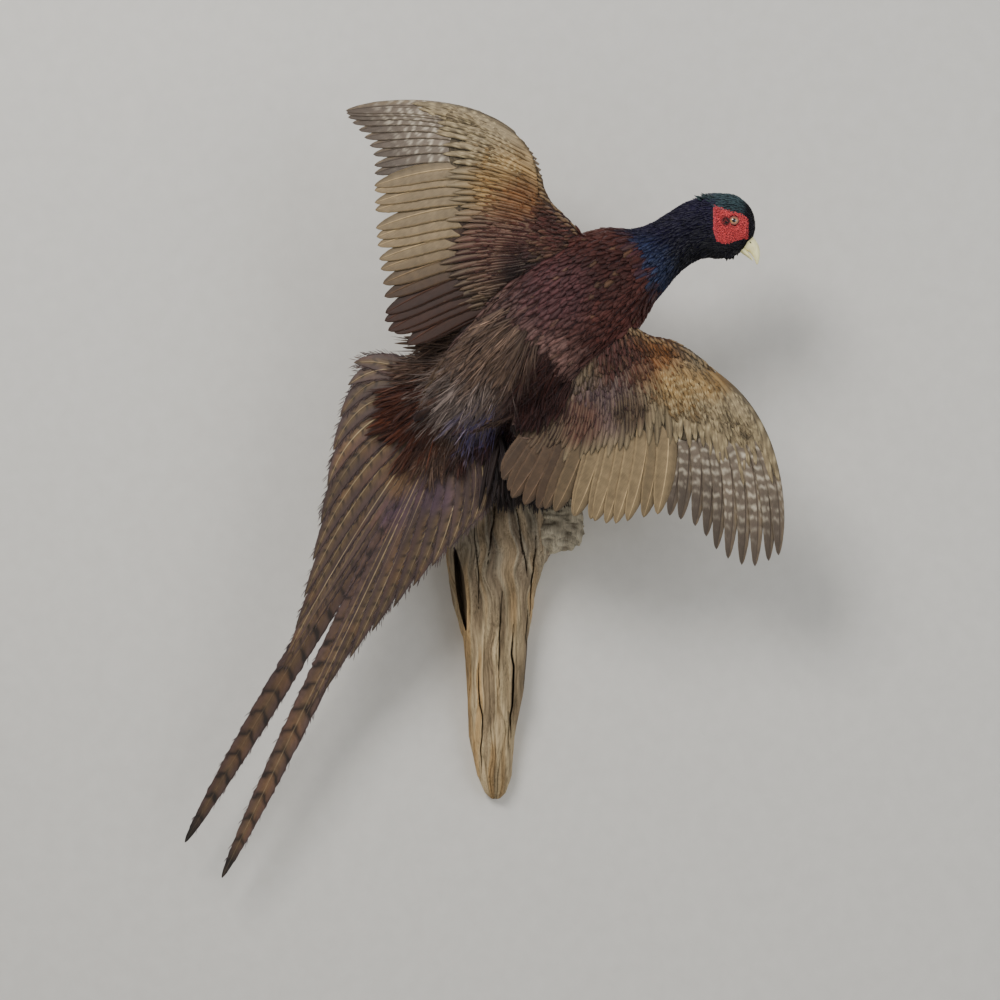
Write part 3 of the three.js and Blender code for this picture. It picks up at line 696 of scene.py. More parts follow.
def relax(values, edges, rounds):
    """Evens out values over a mesh."""
    links = np.bincount(edges.ravel(), minlength=len(values))[:, None]
    for _ in range(rounds):
        total = np.zeros_like(values)
        np.add.at(total, edges[:, 0], values[edges[:, 1]])
        np.add.at(total, edges[:, 1], values[edges[:, 0]])
        values = values * 0.5 + 0.5 * total / np.maximum(links, 1)
    return values


def along_body(points):
    """Place on the body's line (0 at the tail, 16 at the forehead) and its direction."""
    starts = BODY_LINE[:-1]
    steps = np.diff(BODY_LINE, axis=0)
    share = np.einsum("pij,ij->pi", points[:, None] - starts, steps) / (steps ** 2).sum(1)
    share = np.clip(share, 0, 1)
    gaps = np.linalg.norm(starts + share[..., None] * steps - points[:, None], axis=-1)
    best = gaps.argmin(axis=1)
    pick = np.arange(len(points))
    return best + share[pick, best], unit(steps)[best]


# ------------------------------------------------------------ colours of the plumage

INK = screen_colour("#0b0a0d")
MAROON = screen_colour("#46221c")
MAROON_PURPLE = screen_colour("#4a2c2e")
MAROON_BLACK = screen_colour("#241110")
CHESTNUT = screen_colour("#5a2413")
TAN = screen_colour("#86704f")
OLIVE = screen_colour("#5d4c3a")
PURPLE_BROWN = screen_colour("#553f3a")
RUST = screen_colour("#45220f")
ORANGE = screen_colour("#643b12")
GOLD = screen_colour("#7a5f37")
CREAM = screen_colour("#c9b68c")
VIOLET = screen_colour("#1d1735")
SHEEN_VIOLET = screen_colour("#4c393b")
# Painted teal sheen of the neck.
TEAL_SHEEN = screen_colour("#2b3552")
GREEN_BLACK = screen_colour("#36494c")
BLUE_BLACK = screen_colour("#0a0a14")
BELLY = screen_colour("#1d1310")
UMBER = screen_colour("#3d2a1e")


def near(points, x, z, reach):
    """1 at a place on the front of the bird, falling to 0 at `reach` from it."""
    return 1 - smooth(0.35, 1, np.hypot(points[:, 0] - x, points[:, 2] - z) / reach)


def patched(ground, points, *patches):
    """Colours with patches on them: x, z, how far each reaches, its colour and share."""
    for x, z, reach, shade, share in patches:
        ground = mix(ground, shade, near(points, x, z, reach) * share)
    return ground


def body_colours(points, normals, rng):
    """Root, middle, tip and edge colours of the feathers of the trunk, neck and head."""
    count = len(points)
    place = along_body(points)[0] + rng.normal(0, 0.12, count)
    back = smooth(-0.35, 0.35, -normals[:, 1])

    rump = patched(OLIVE, points, (-92, 200, 40, RUST, 1),
                   (-34, 196, 46, SHEEN_VIOLET * 1.6, 0.8), (-30, 156, 34, MAROON_BLACK, 1))
    upper = mix(rump, PURPLE_BROWN, smooth(1.9, 3.0, place))
    upper = patched(upper, points, (46, 240, 44, PURPLE_BROWN * 1.9, 0.8))
    upper = mix(upper, MAROON, smooth(3.8, 5.0, place))
    upper = patched(upper, points, (94, 326, 40, MAROON_BLACK, 0.45),
                    (50, 308, 50, MAROON_PURPLE, 0.8))
    under = mix(BELLY, CHESTNUT, smooth(3.4, 5.0, place))
    trunk = mix(under, upper, back)
    high = smooth(-0.5, 0.6, normals[:, 2])
    # The neck: a painted violet sheen on its upper side, blue-black below.
    neck = mix(BLUE_BLACK, VIOLET, high) * 0.55
    # A painted teal sheen at one place on the side of the neck.
    neck = mix(neck, TEAL_SHEEN, near(points, 131, 328, 40) * rng.uniform(0.4, 1, count))
    crown = mix(VIOLET, GREEN_BLACK, smooth(10.2, 11.2, place))
    face = mix(INK, crown, high)
    face = mix(face, INK, smooth(12.8, 13.6, place))
    colours = mix(trunk, neck, smooth(6.75, 7.05, place))
    colours = mix(colours, face, smooth(9.6, 10.6, place))

    light = rng.uniform(0.72, 1.3, (count, 1))
    middle = colours * light
    mantle = smooth(3.4, 4.6, place) * (1 - smooth(6.7, 7.0, place))
    fleck = mantle * (rng.random(count) < 0.05) * back
    middle = mix(middle, TAN * light, fleck * 0.2)
    tip = mix(middle, INK, 0.12 * mantle)
    root = mix(middle, INK, 0.25)
    edge = middle * 0.85
    return root, middle, tip, edge


# Patches of colour on the wings' upper side: x, z, how far they reach, colour.
WING_PATCHES = dict(
    left=((-8, 402, 52, GOLD * 1.25), (8, 382, 40, ORANGE), (-24, 338, 62, MAROON),
          (20, 350, 34, MAROON), (46, 362, 40, MAROON), (14, 314, 44, MAROON_BLACK),
          (-66, 288, 66, UMBER)),
    right=((130, 243, 44, ORANGE), (112, 236, 30, RUST), (86, 196, 50, SHEEN_VIOLET),
           (60, 178, 36, MAROON), (112, 187, 26, UMBER), (158, 212, 30, GOLD),
           (192, 216, 26, GOLD), (96, 246, 30, MAROON), (24, 166, 40, UMBER)),
)


def wing_ground(wing, points, under=False):
    """The colour of a wing's coverts at each place."""
    ground = np.tile(screen_colour("#75664d"), (len(points), 1))
    if not under:
        for x, z, reach, shade in WING_PATCHES[wing["name"]]:
            ground = mix(ground, shade, near(points, x, z, reach))
    return ground


def wing_colours(wing, points, rng):
    """Root, middle, tip and edge colours of the small coverts."""
    count = len(points)
    under = points[:, 1] > wing_sheet(wing, points[:, 0], points[:, 2]) + 1
    ground = np.where(under[:, None], wing_ground(wing, points, True), wing_ground(wing, points))
    middle = ground * rng.uniform(0.75, 1.3, (count, 1))
    root = mix(middle, INK, 0.25)
    tip = mix(middle, INK, 0.1)
    golden = rng.random(count) < 0.3
    edge = mix(middle * 0.85, TAN, 0.4 * golden)
    return root, middle, tip, edge


# ------------------------------------------------------------ small feathers on the skin

SCATTER_TRIES = 4.0  # places tried where there is room for one


def scatter(points, faces, spacing, seed):
    """Places spread over a mesh, `spacing(points)` apart: positions and normals."""
    rng = np.random.default_rng(seed)
    corners = points[faces]
    first = corners[:, 1] - corners[:, 0]
    second = corners[:, 2] - corners[:, 0]
    cross = np.cross(first, second)
    area = np.linalg.norm(cross, axis=1) / 2
    middle_gap = spacing(corners.mean(axis=1))
    wanted = area / middle_gap ** 2 * SCATTER_TRIES
    picks = rng.choice(len(faces), int(wanted.sum()), p=wanted / wanted.sum())
    a, b = rng.random((2, len(picks), 1))
    flip = a + b > 1
    a = np.where(flip, 1 - a, a)
    b = np.where(flip, 1 - b, b)
    spots = corners[picks, 0] + a * first[picks] + b * second[picks]
    normals = unit(cross[picks])
    gaps = middle_gap[picks]
    cell = float(gaps.max())
    keys = np.floor(spots / cell).astype(int)
    around = [(i, j, k) for i in (-1, 0, 1) for j in (-1, 0, 1) for k in (-1, 0, 1)]
    grid = {}
    kept = []
    places = spots.tolist()
    for index, (key, gap) in enumerate(zip(map(tuple, keys.tolist()), gaps.tolist())):
        x, y, z = places[index]
        free = True
        for i, j, k in around:
            for other_x, other_y, other_z in grid.get((key[0] + i, key[1] + j, key[2] + k), ()):
                if (x - other_x) ** 2 + (y - other_y) ** 2 + (z - other_z) ** 2 < gap * gap:
                    free = False
                    break
            if not free:
                break
        if free:
            grid.setdefault(key, []).append((x, y, z))
            kept.append(index)
    return spots[kept], normals[kept]


def even_gap(gap):
    """A spacing that is the same everywhere."""
    return lambda where: np.full(len(where), gap)


def march(tree, roots, normals, directions, lengths, rows):
    """Centre lines that start at the roots and follow the surface: centres, directions
    and normals, each feathers x rows x 3."""
    centres = [roots]
    headings = [unit(square(directions, normals))]
    facings = [normals]
    step = (lengths / (rows - 1))[:, None]
    for _ in range(rows - 1):
        ahead = centres[-1] + headings[-1] * step
        place, facing, _ = nearest(tree, ahead)
        facing = unit(facings[-1] * 0.5 + facing)
        off = np.linalg.norm(place - ahead, axis=1, keepdims=True)
        place = np.where(off > step * 0.9, ahead, place)
        heading = unit(square(headings[-1], facing))
        centres.append(place)
        headings.append(heading)
        facings.append(facing)
    return np.stack(centres, 1), np.stack(headings, 1), np.stack(facings, 1)


# How the map OFBake is shared out: the body at the left, then the two sides of each arm,
# and the rows of long feathers at the right.
MAP_EDGE = 0.01
MAP_HEIGHT = 0.97
BODY_MAP_WIDTH = 0.6
ARM_MAP_LEFT = 0.63
ARM_MAP_STEP = 0.09
ARM_MAP_WIDTH = 0.085
STRIP_WIDTH = 0.17
STRIP_HEIGHT = 0.1


def unwrap_body(points):
    """Places on the unwrapped skin of the body: round it, and from tail to head."""
    place, along = along_body(points)
    low = np.floor(place).astype(int).clip(0, len(BODY_LINE) - 2)
    middle = BODY_LINE[low] + (place - low)[:, None] * np.diff(BODY_LINE, axis=0)[low]
    across = unit(np.stack([-along[:, 2], np.zeros(len(along)), along[:, 0]], -1))
    inwards = np.cross(across, along)
    out = points - middle
    angle = np.arctan2((out * inwards).sum(1), (out * across).sum(1))
    return np.stack([MAP_EDGE + BODY_MAP_WIDTH * (angle / (2 * math.pi) + 0.5),
                     MAP_EDGE + MAP_HEIGHT * place / (len(BODY_LINE) - 1)], -1)


def unwrap_wing(wing, points):
    """Places on the unwrapped skin of an arm: its upper and under side, side by side."""
    along, behind = wing_places(wing, points[:, 0], points[:, 2])
    under = points[:, 1] > wing_sheet(wing, points[:, 0], points[:, 2])
    left = ARM_MAP_LEFT + ARM_MAP_STEP * (2 * (wing["hand"] < 0) + under)
    return np.stack([left + ARM_MAP_WIDTH * np.clip(behind * 0.7 + 0.2, 0, 1),
                     MAP_EDGE + MAP_HEIGHT * np.clip(along, 0, 1)], -1)


def coat_of(kind, tree, spots, normals, directions, lengths, halves, colours, lift,
            unwrapped, rng, rows=6, thick=0.45, curl=0.0):
    """Adds feathers that lie on the skin to a plumage. lift is how far each rises to its
    tip, and curl how much further the tip turns up."""
    root, middle, end, edge = colours
    centre, heading, facing = march(tree, spots, normals, directions, lengths, rows)
    along = np.linspace(0, 1, rows)
    rise = lift[:, None] * np.linspace(0.15, 1, rows) + curl * along ** 1.6
    centre = centre + facing * rise[..., None]
    half = halves[:, None] * vane_width(rows)[None]
    half = half * rng.uniform(0.86, 1.12, half.shape)
    points = small_vanes(centre, heading, facing, half, thick, droop=0.2)
    shades = feather_colours(root, middle, end, rows, SMALL_SECTION, rng.random(len(spots)), edge)
    kind.add(points, SMALL_SECTION, SMALL_UPPER, shades, unwrapped)


def hairs(kind, tree, spots, normals, directions, lengths, width, shade, stand, unwrapped, rng):
    """Loose strands that rise a little from the coat and give it a soft outline."""
    rows = 5
    spread = directions + rng.normal(0, 0.2, directions.shape)
    centre, heading, facing = march(tree, spots, normals, unit(spread), lengths, rows)
    rise = stand[:, None] * np.linspace(0.1, 1, rows)[None] ** 1.3
    sway = unit(np.cross(heading, facing)) * rng.normal(0, 1, (len(spots), 1, 1))
    wave = sway * (lengths[:, None, None] * 0.06) * np.linspace(0, 1, rows)[None, :, None] ** 2
    centre = centre + facing * rise[..., None] + wave
    half = width[:, None] * np.linspace(1, 0.25, rows)[None]
    points = small_vanes(centre, heading, facing, half, 0.3, 0.1)
    shades = feather_colours(shade, shade, shade * 0.8, rows, SMALL_SECTION,
                             rng.random(len(spots)))
    kind.add(points, SMALL_SECTION, SMALL_UPPER, shades, unwrapped)


def wing_axes(wing):
    """A wing's direction to its tip and to its hind edge, and its length."""
    span = np.subtract(wing["tip"], wing["shoulder"]).astype(float)
    length = np.linalg.norm(span)
    out = span / length
    back = np.array([-out[1], out[0]]) * wing["hand"]
    return out, back, length


def wing_places(wing, x, z):
    """How far out along the wing and how far behind its shoulder places are."""
    out, back, length = wing_axes(wing)
    reach = np.stack([x - wing["shoulder"][0], z - wing["shoulder"][1]], -1)
    return reach @ out / length, reach @ back / WING_CHORD


def wing_sheet(wing, x, z):
    """y of the curved sheet that a wing lies in."""
    along, behind = wing_places(wing, x, z)
    along = np.clip(along, 0, 1.1)
    arch = WING_ARCH * np.sin(math.pi * np.minimum(along, 1))
    return WING_Y - arch + WING_DROOP * along ** 2 + WING_CAMBER * np.clip(behind, -0.4, 1.3)


# The coat along the body: name, from, to, spacing, how much closer the feathers get and
# where, lengths, half width, lift, curl at the tip, rows, and strands to a feather.
BODY_ZONES = (
    ("rump", 0, 3.0, 4.6, 0, (0, 1), (26, 38), 3.8, 2.4, 0.6, 7, 6),
    ("back", 3.0, 4.6, 4.4, 0, (0, 1), (20, 28), 4.0, 2.2, 0.5, 7, 6),
    ("mantle", 4.6, 6.9, 3.6, 0, (0, 1), (15, 21), 3.3, 1.8, 0.8, 7, 5),
    ("neck", 6.9, 9.9, 2.7, 0.7, (8.5, 9.9), (9, 13), 2.0, 1.2, 0.2, 5, 3),
    ("head", 9.9, 16, 1.75, 0.55, (11.5, 13.5), (4.4, 6.6), 1.15, 0.7, 0.15, 5, 0),
)


def body_coat(points, faces, part, tree):
    """The feathers of the trunk, neck and head."""
    body = part[faces[:, 0]] <= FLESH.index("head")
    faces = faces[body]
    middle = points[faces].mean(axis=1)
    place, _ = along_body(middle)
    for number, zone in enumerate(BODY_ZONES):
        name, low, high, gap, closer, ramp, length, half, lift, curl, rows, strands = zone
        rng = np.random.default_rng(100 + number)
        inside = (place >= low) & (place < high)
        spacing = lambda where: gap - closer * smooth(*ramp, along_body(where)[0])
        spots, normals = scatter(points, faces[inside], spacing, 40 + number)
        if name == "head":
            covered = inside_outline(spots, WATTLE_OUTLINE, 1.0) & (abs(normals[:, 1]) > 0.2)
            spots, normals = spots[~covered], normals[~covered]
        where, along = along_body(spots)
        heading = -along + rng.normal(0, 0.12, along.shape)
        if name == "rump":
            heading = heading + np.array([-0.15, 0.0, -0.35])
        grade = 1 - 0.45 * smooth(11, 14, where)
        lengths = rng.uniform(*length, len(spots)) * grade
        halves = half * rng.uniform(0.85, 1.15, len(spots)) * grade
        rise = lift * rng.uniform(0.7, 1.25, len(spots))
        if name in ("neck", "head"):
            coat = Plumage(f"{name}_feathers", NECK_FEATHER, "plumage_neck")
        else:
            coat = Plumage(f"{name}_feathers", BODY_FEATHER, "plumage_dark")
        colours = body_colours(spots, normals, rng)
        unwrapped = unwrap_body(spots)
        coat_of(coat, tree, spots, normals, heading, lengths, halves, colours, rise,
                unwrapped, rng, rows, thick=0.25 + half * 0.05, curl=curl)
        if strands:
            loose = np.repeat(np.arange(len(spots)), strands)
            tone = np.exp(rng.normal(0, 0.38, (len(loose), 1)))
            shade = colours[1][loose] * tone
            stand = rise[loose] * rng.uniform(0.7, 1.1, len(loose)) + 0.4
            aside = rng.normal(0, halves[loose, None] * 0.55, (len(loose), 3))
            aside = square(aside, normals[loose])
            hairs(coat, tree, spots[loose] + aside, normals[loose], heading[loose],
                  lengths[loose] * rng.uniform(0.6, 1.2, len(loose)),
                  rng.uniform(0.22, 0.5, len(loose)), shade, stand, unwrapped[loose], rng)
        coat.build()


def inside_outline(points, outline, margin):
    """Whether points seen from the side are inside an outline made smaller by margin."""
    centre = outline.mean(axis=0)
    shape = centre + (outline - centre) * (1 - margin / 15)
    x, z = points[:, 0], points[:, 2]
    inside = np.zeros(len(points), bool)
    for (x0, z0), (x1, z1) in zip(shape, np.roll(shape, -1, axis=0)):
        crosses = (z0 > z) != (z1 > z)
        level = x0 + (z - z0) / (z1 - z0 if z1 != z0 else 1e-9) * (x1 - x0)
        inside ^= crosses & (x < level)
    return inside


# ------------------------------------------------------------ wings

BODY_BOW = 9  # how far the secondary next to the body bends
WRIST_BOW = 22  # and the feathers at the wrist


def bowed(start, bend, end, rows, span=(0, 1)):
    """Curved lines from start to end, pulled towards bend: lines x rows x 2. span is the
    part of each line that is wanted."""
    t = np.linspace(*span, rows)[None, :, None]
    return start[:, None] * (1 - t) ** 2 + 2 * bend[:, None] * t * (1 - t) + end[:, None] * t ** 2


def quills(wing, kind, rows, span=(0, 1)):
    """Centre lines in x and z of a wing's primaries or secondaries: feathers x rows x 2."""
    share = np.linspace(0, 1, FLIGHT_COUNTS[kind])
    if kind == "primary":
        bow = WRIST_BOW + (wing["bow"] - WRIST_BOW) * share
    else:
        bow = BODY_BOW + (WRIST_BOW - BODY_BOW) * share
    start = spline(wing[f"{kind}_roots"], share)
    end = spline(wing[f"{kind}_tips"], share)
    bend = (start + end) / 2 - 2 * bow[:, None] * wing_axes(wing)[1]
    return bowed(start, bend, end, rows, span)


def all_quills(wing, rows, span=(0, 1)):
    """Centre lines of all the wing's flight feathers, from the body to the tip."""
    return np.concatenate([quills(wing, kind, rows, span) for kind in FLIGHT_COUNTS])


def flight_width(rows, blunt, narrow, point=0.5):
    """Share of the half width along a flight feather: bare quill, vane, tip. The tip is
    round with a point of 0.5 and sharper above it."""
    along = np.linspace(0, 1, rows)
    base = 0.12 + 0.88 * smooth(0.04, 0.3, along)
    closing = np.clip((along - blunt) / (1 - blunt), 0, 1)
    return base * np.maximum(1 - closing ** 2.2, 0.004) ** point * (1 - narrow * along ** 2)


def flight_points(lines, half, sheet, rng, tilt, layer, lean=0.0, sweep=0.35,
                  ragged=0.015, thick=0.55):
    """Points of long feathers. lines is feathers x rows x 2, half the half widths, sheet
    gives y at x and z. tilt turns the vanes about the shaft, and lean makes one vane wider
    than the other. sweep slants the barbs to the tip, and ragged roughens the edges."""
    count, rows = lines.shape[:2]
    along = unit(np.gradient(lines, axis=1))
    across = np.stack([-along[..., 1], along[..., 0]], -1)
    u = LARGE_SECTION[:, 0]
    vane = np.where(u > 0, 1 - lean, 1 + lean) * u
    wide = half[..., None] * np.where(np.abs(u) < 2 * SHAFT, u, vane)
    edge = rng.normal(0, ragged, (count, rows, len(u))) * np.abs(u) ** 2
    wide = wide * np.clip(1 + edge, 0.05, 1.3)
    slip = sweep * np.abs(wide) * smooth(0, 0.25, np.linspace(0, 1, rows))[None, :, None]
    flat = (lines[:, :, None] + across[:, :, None] * wide[..., None]
            + along[:, :, None] * slip[..., None])
    height = thick * LARGE_SECTION[:, 1] * smooth(-0.2, 0.3, 1 - np.linspace(0, 1, rows))[:, None]
    y = sheet(flat[..., 0], flat[..., 1]) + layer + tilt * wide - height
    return np.stack([flat[..., 0], y, flat[..., 1]], -1)


def flight_base(rows, count, rng, section=LARGE_SECTION):
    """Place along (0 to 1), place across (-1 to 1) and a random number for each feather."""
    along = np.linspace(0, 1, rows)[None, :, None]
    across = section[:, 0][None, None, :]
    return along, across, rng.random((count, 1, 1))


def primary_colours(count, rows, rng, lengths, side):
    """Grey-brown with rows of pale spots that slant from the shaft, darker at the tip."""
    along, across, own = flight_base(rows, count, rng)
    distance = along * lengths[:, None, None]
    wobble = value_noise(distance / 5 + own * 90, across * 3 + own * 40 + 9, 5)
    broken = value_noise(distance / 2.2 + own * 50, across * 5 + own * 30 + 9, 6)
    phase = (distance + 5 * np.abs(across) + 4 * wobble) / 10.5 + own * 0.4
    bar = smooth(0.6, 0.82, np.cos(2 * math.pi * phase) * 0.5 + 0.5) * smooth(0.25, 0.6, broken)
    inner = smooth(0.0, 0.12, across * side)
    outer = smooth(0.1, 0.3, -across * side)
    reach = smooth(0.1, 0.3, along) * (1 - smooth(0.72, 0.95, along))
    shade = np.broadcast_to(screen_colour("#706355"), (count, rows, len(LARGE_SECTION), 3))
    shade = tint(shade, "#433932", smooth(0.6, 1.0, along) * 0.8)
    shade = tint(shade, "#c6bba6", bar * reach * (0.7 * inner + 0.6 * outer))
    shade = mix(shade, shade * 0.6,
                0.5 * smooth(0.2, 0.5, 1 - bar) * smooth(0.3, 0.7, broken) * reach)
    shade = tint(shade, "#937f60", 0.5 * wobble * outer * (1 - bar))
    shade = tint(shade, "#8d7d66", smooth(0.9, 1.0, np.abs(across)) * 0.35)
    shaft = np.abs(across) < SHAFT
    shade = tint(shade, "#3a2d24", shaft * smooth(0.2, 0.5, along) * 0.6)
    return with_seed(shade * (0.85 + 0.3 * own[..., None]), own)


def secondary_colours(count, rows, rng, lengths, ground, side):
    """Tan with faint wavering lines, a thin pale shaft, soft pale edges, and painted shade, darker
    where the next feather overlaps."""
    along, across, own = flight_base(rows, count, rng)
    distance = along * lengths[:, None, None]
    wobble = value_noise(distance / 7 + own * 70, across * 2.5 + own * 50 + 9, 8)
    fine = value_noise(distance / 1.8 + own * 30, across * 7 + own * 20 + 9, 11)
    phase = (distance + 5 * np.abs(across) + 5 * wobble) / 9.0 + own
    line = smooth(0.45, 0.85, np.cos(2 * math.pi * phase) * 0.5 + 0.5)
    shade = np.broadcast_to(ground[:, None, None], (count, rows, len(LARGE_SECTION), 3))
    shade = mix(shade, shade * 0.5, line * 0.2 + 0.2 * fine)
    shade = mix(shade, shade * 1.35, smooth(0.55, 0.95, fine) * 0.3)
    # Painted shade on the side that the next feather overlaps.
    shade = mix(shade, shade * 0.5, 0.75 * smooth(0.1, 0.8, across * side))
    shade = mix(shade, shade * 0.7, 0.5 * smooth(0.1, 0.7, -across * side))
    shade = mix(shade, shade * 2.1, smooth(0.85, 1.0, np.abs(across)) * smooth(0.2, 0.5, along))
    shaft = np.abs(across) < SHAFT
    shade = mix(shade, shade * 2.5, shaft * 0.8)
    return with_seed(shade * (0.85 + 0.3 * own[..., None]), own)


def with_seed(shade, own):
    """Colours whose fourth number is the feather's own."""
    coloured = np.empty((*shade.shape[:3], 4))
    coloured[..., :3] = np.clip(shade, 0, 1)
    coloured[..., 3] = own
    return coloured


def strip_places(count, left, top):
    """Places and sizes on OFBake of a row of long feathers, side by side."""
    step = STRIP_WIDTH / count
    size = np.tile([0.8 * step, STRIP_HEIGHT], (count, 1))
    places = np.stack([left + step * (0.5 + np.arange(count)), np.full(count, top)], -1)
    return places, size


def flight_feathers(wing, number):
    """The primaries and secondaries of a wing."""
    rng = np.random.default_rng(500 + number)
    front = -wing_axes(wing)[1]
    sheet = lambda x, z: wing_sheet(wing, x, z)
    flight = Plumage(f"flight_{wing['name']}", FLIGHT_FEATHER, "flight_feathers")
    rows = 72
    for kind, count in FLIGHT_COUNTS.items():
        lines = quills(wing, kind, rows)
        lengths = np.linalg.norm(np.diff(lines, axis=1), axis=-1).sum(1)
        side = np.sign(np.cross(lines[0, -1] - lines[0, 0], front))
        if kind == "primary":
            half = flight_width(rows, 0.8, 0.42, 0.55) * np.linspace(10.5, 9, count)[:, None]
            colours = primary_colours(count, rows, rng, lengths, -side)
            layer, lean, top = 0.6, 0.2, 0.06
        else:
            half = flight_width(rows, 0.74, 0.2, 0.62) * rng.uniform(10.4, 11.8, (count, 1))
            ground = mix(screen_colour("#837052"), screen_colour(wing["inner"]),
                         smooth(0.4, 0.7, np.linspace(1, 0, count)))
            turn = rng.normal(0, 2.5, (count, 1, 1)) * np.linspace(0, 1, rows)[:, None] ** 2
            lines = lines + turn * unit(lines[:, -1:] - lines[:, :1])[..., ::-1] * (1, -1)
            colours = secondary_colours(count, rows, rng, lengths, ground, side)
            layer, lean, top = -1.2, 0.12, 0.18
        points = flight_points(lines, half, sheet, rng, tilt=0.13 * side, layer=layer,
                               lean=lean * side)
        places, size = strip_places(count, 0.82, top + 0.24 * number)
        flight.add(points, LARGE_SECTION, LARGE_UPPER, colours, places, size)
    flight.build()


# Layers of long narrow coverts over the flight feathers: from and to along the quill,
# feathers for each flight feather, half width, and height at the root and at the tip.
COVERT_LAYERS = (
    (0.06, 0.62, 1.5, 6.0, -0.3, 0.7),
    (0.06, 0.48, 2.1, 4.4, 0.0, 1.2),
    (0.05, 0.36, 2.8, 3.0, 0.3, 1.6),
)
UNDER_LIFT = 2.2  # how much further off the skin the under coverts stand at their tips
UNDER_REACH = 1.25  # and how much longer they are than those above, on the arm


def quill_direction(wing, x, z):
    """The way that the flight feathers near each place point."""
    lines = all_quills(wing, 3)
    gap = np.hypot(x[:, None] - lines[:, 0, 0], z[:, None] - lines[:, 0, 1])
    weight = 1 / (gap + 8) ** 3
    return unit(weight @ unit(lines[:, 1] - lines[:, 0]))


RAY_FRONT = -400  # y where rays from the front start
RAY_BACK = 100
SHEET_REACH = 30  # a wing's surface is no further than this from its sheet


def seen_height(tree, x, z, side):
    """y of a surface seen from the front (side -1) or from behind, nan where it ends."""
    start = RAY_FRONT if side < 0 else RAY_BACK
    height = np.full(x.shape, np.nan)
    for place in np.ndindex(x.shape):
        hit = tree.ray_cast(Vector((x[place], start, z[place])), Vector((0, -side, 0)))[0]
        if hit is not None:
            height[place] = hit.y
    return height


def surface_height(tree, wing, x, z, side):
    """y of the wing's outer surface, or of its sheet where the ray finds something else."""
    flat = wing_sheet(wing, x, z) + side * 1.0
    height = seen_height(tree, x, z, side)
    return np.where(abs(height - flat) < SHEET_REACH, height, flat)


def evened(values, rounds):
    """Values along feathers (feathers x rows) with their steps smoothed out."""
    for _ in range(rounds):
        wide = np.pad(values, ((0, 0), (1, 1)), mode="edge")
        values = (wide[:, :-2] + 2 * wide[:, 1:-1] + wide[:, 2:]) / 4
    return values


def quills_spread(wing, crowd, rows, start, end):
    """Lines spread evenly over all the wing's quills, `crowd` to a quill, and which of
    them are on the hand."""
    lines = all_quills(wing, rows, (start, end))
    place = np.linspace(0, len(lines) - 1, round(len(lines) * crowd))
    low = np.minimum(place.astype(int), len(lines) - 2)
    share = (place - low)[:, None, None]
    on_hand = place > FLIGHT_COUNTS["secondary"] - 0.5
    return lines[low] * (1 - share) + lines[low + 1] * share, on_hand


def covert_strips(coat, wing, tree, side, rng):
    """Long narrow coverts that lie along the quills, in layers."""
    rows = 24
    for start, end, crowd, half, low, high in COVERT_LAYERS:
        lines, hand = quills_spread(wing, crowd, rows, start, end)
        count = len(lines)
        reach = rng.uniform(0.82 + 0.06 * hand, 1.12)[:, None, None]
        reach = reach * np.where(hand | (side < 0), 1, UNDER_REACH)[:, None, None]
        lines = lines[:, :1] + (lines - lines[:, :1]) * reach
        lines = lines + rng.normal(0, half * 0.12, (count, 1, 2))
        surface = surface_height(tree, wing, lines[..., 0], lines[..., 1], side)
        bed = np.linspace(low, high, rows) + rng.uniform(-0.25, 0.25, (count, 1))
        bed = bed + UNDER_LIFT * (side > 0) * smooth(0, 0.7, np.linspace(0, 1, rows))
        centre = np.stack([lines[..., 0], evened(surface, 3) + side * bed, lines[..., 1]], -1)
        along = unit(np.gradient(centre, axis=1))
        facing = np.zeros_like(centre)
        facing[..., 1] = side
        facing = unit(square(facing, along))
        facing = unit(facing + 0.1 * np.cross(along, facing))
        width = half * rng.uniform(0.85, 1.12, (count, 1)) * vane_width(rows, 0.4, 0.5, 0.05)
        width = width * (1 - 0.35 * np.linspace(0, 1, rows) ** 3)
        shapes = small_vanes(centre, along, facing, width, 0.32, 0.06, COVERT_SECTION)
        ground = wing_ground(wing, centre.reshape(-1, 3), side > 0).reshape(centre.shape)
        shades = strip_colours(ground, hand, rng)
        coat.add(shapes, COVERT_SECTION, COVERT_UPPER, shades, unwrap_wing(wing, centre[:, 0]))


def strip_colours(ground, spotted, rng):
    """Colours of long coverts: the wing's colour at each place, a paler shaft, soft pale
    edges, and on the hand's coverts rows of pale spots."""
    count, rows = ground.shape[:2]
    along, across, own = flight_base(rows, count, rng, COVERT_SECTION)
    streak = value_noise(along * 9 + own * 80, across * 2 + own * 60 + 9, 21)
    shade = ground[:, :, None] * (0.72 + 0.56 * own[..., None])
    shade = mix(shade, shade * 0.5, streak * 0.45 * smooth(0, 0.3, along))
    shade = shade + 0.13 * CREAM * (smooth(0.7, 1.0, np.abs(across)) * (own > 0.3)
                                    * smooth(0.4, 0.8, along))[..., None]
    shade = mix(shade, shade + 0.12 * CREAM, np.abs(across) < 0.1)
    spotted = spotted[:, None, None] * 1.0
    phase = along * 7 + own * 3 + 0.3 * np.abs(across)
    spot = smooth(0.62, 0.85, np.cos(2 * math.pi * phase) * 0.5 + 0.5)
    aside = smooth(0.2, 0.5, np.abs(across))
    shade = mix(shade, CREAM * 1.1, spotted * spot * aside * 0.5 * smooth(0.3, 0.5, along))
    shade = shade * (1 + 0.12 * spotted[..., None])
    return with_seed(shade, own)


SMALL_COVERTS = 56  # how far from the leading edge they reach at the middle of the arm


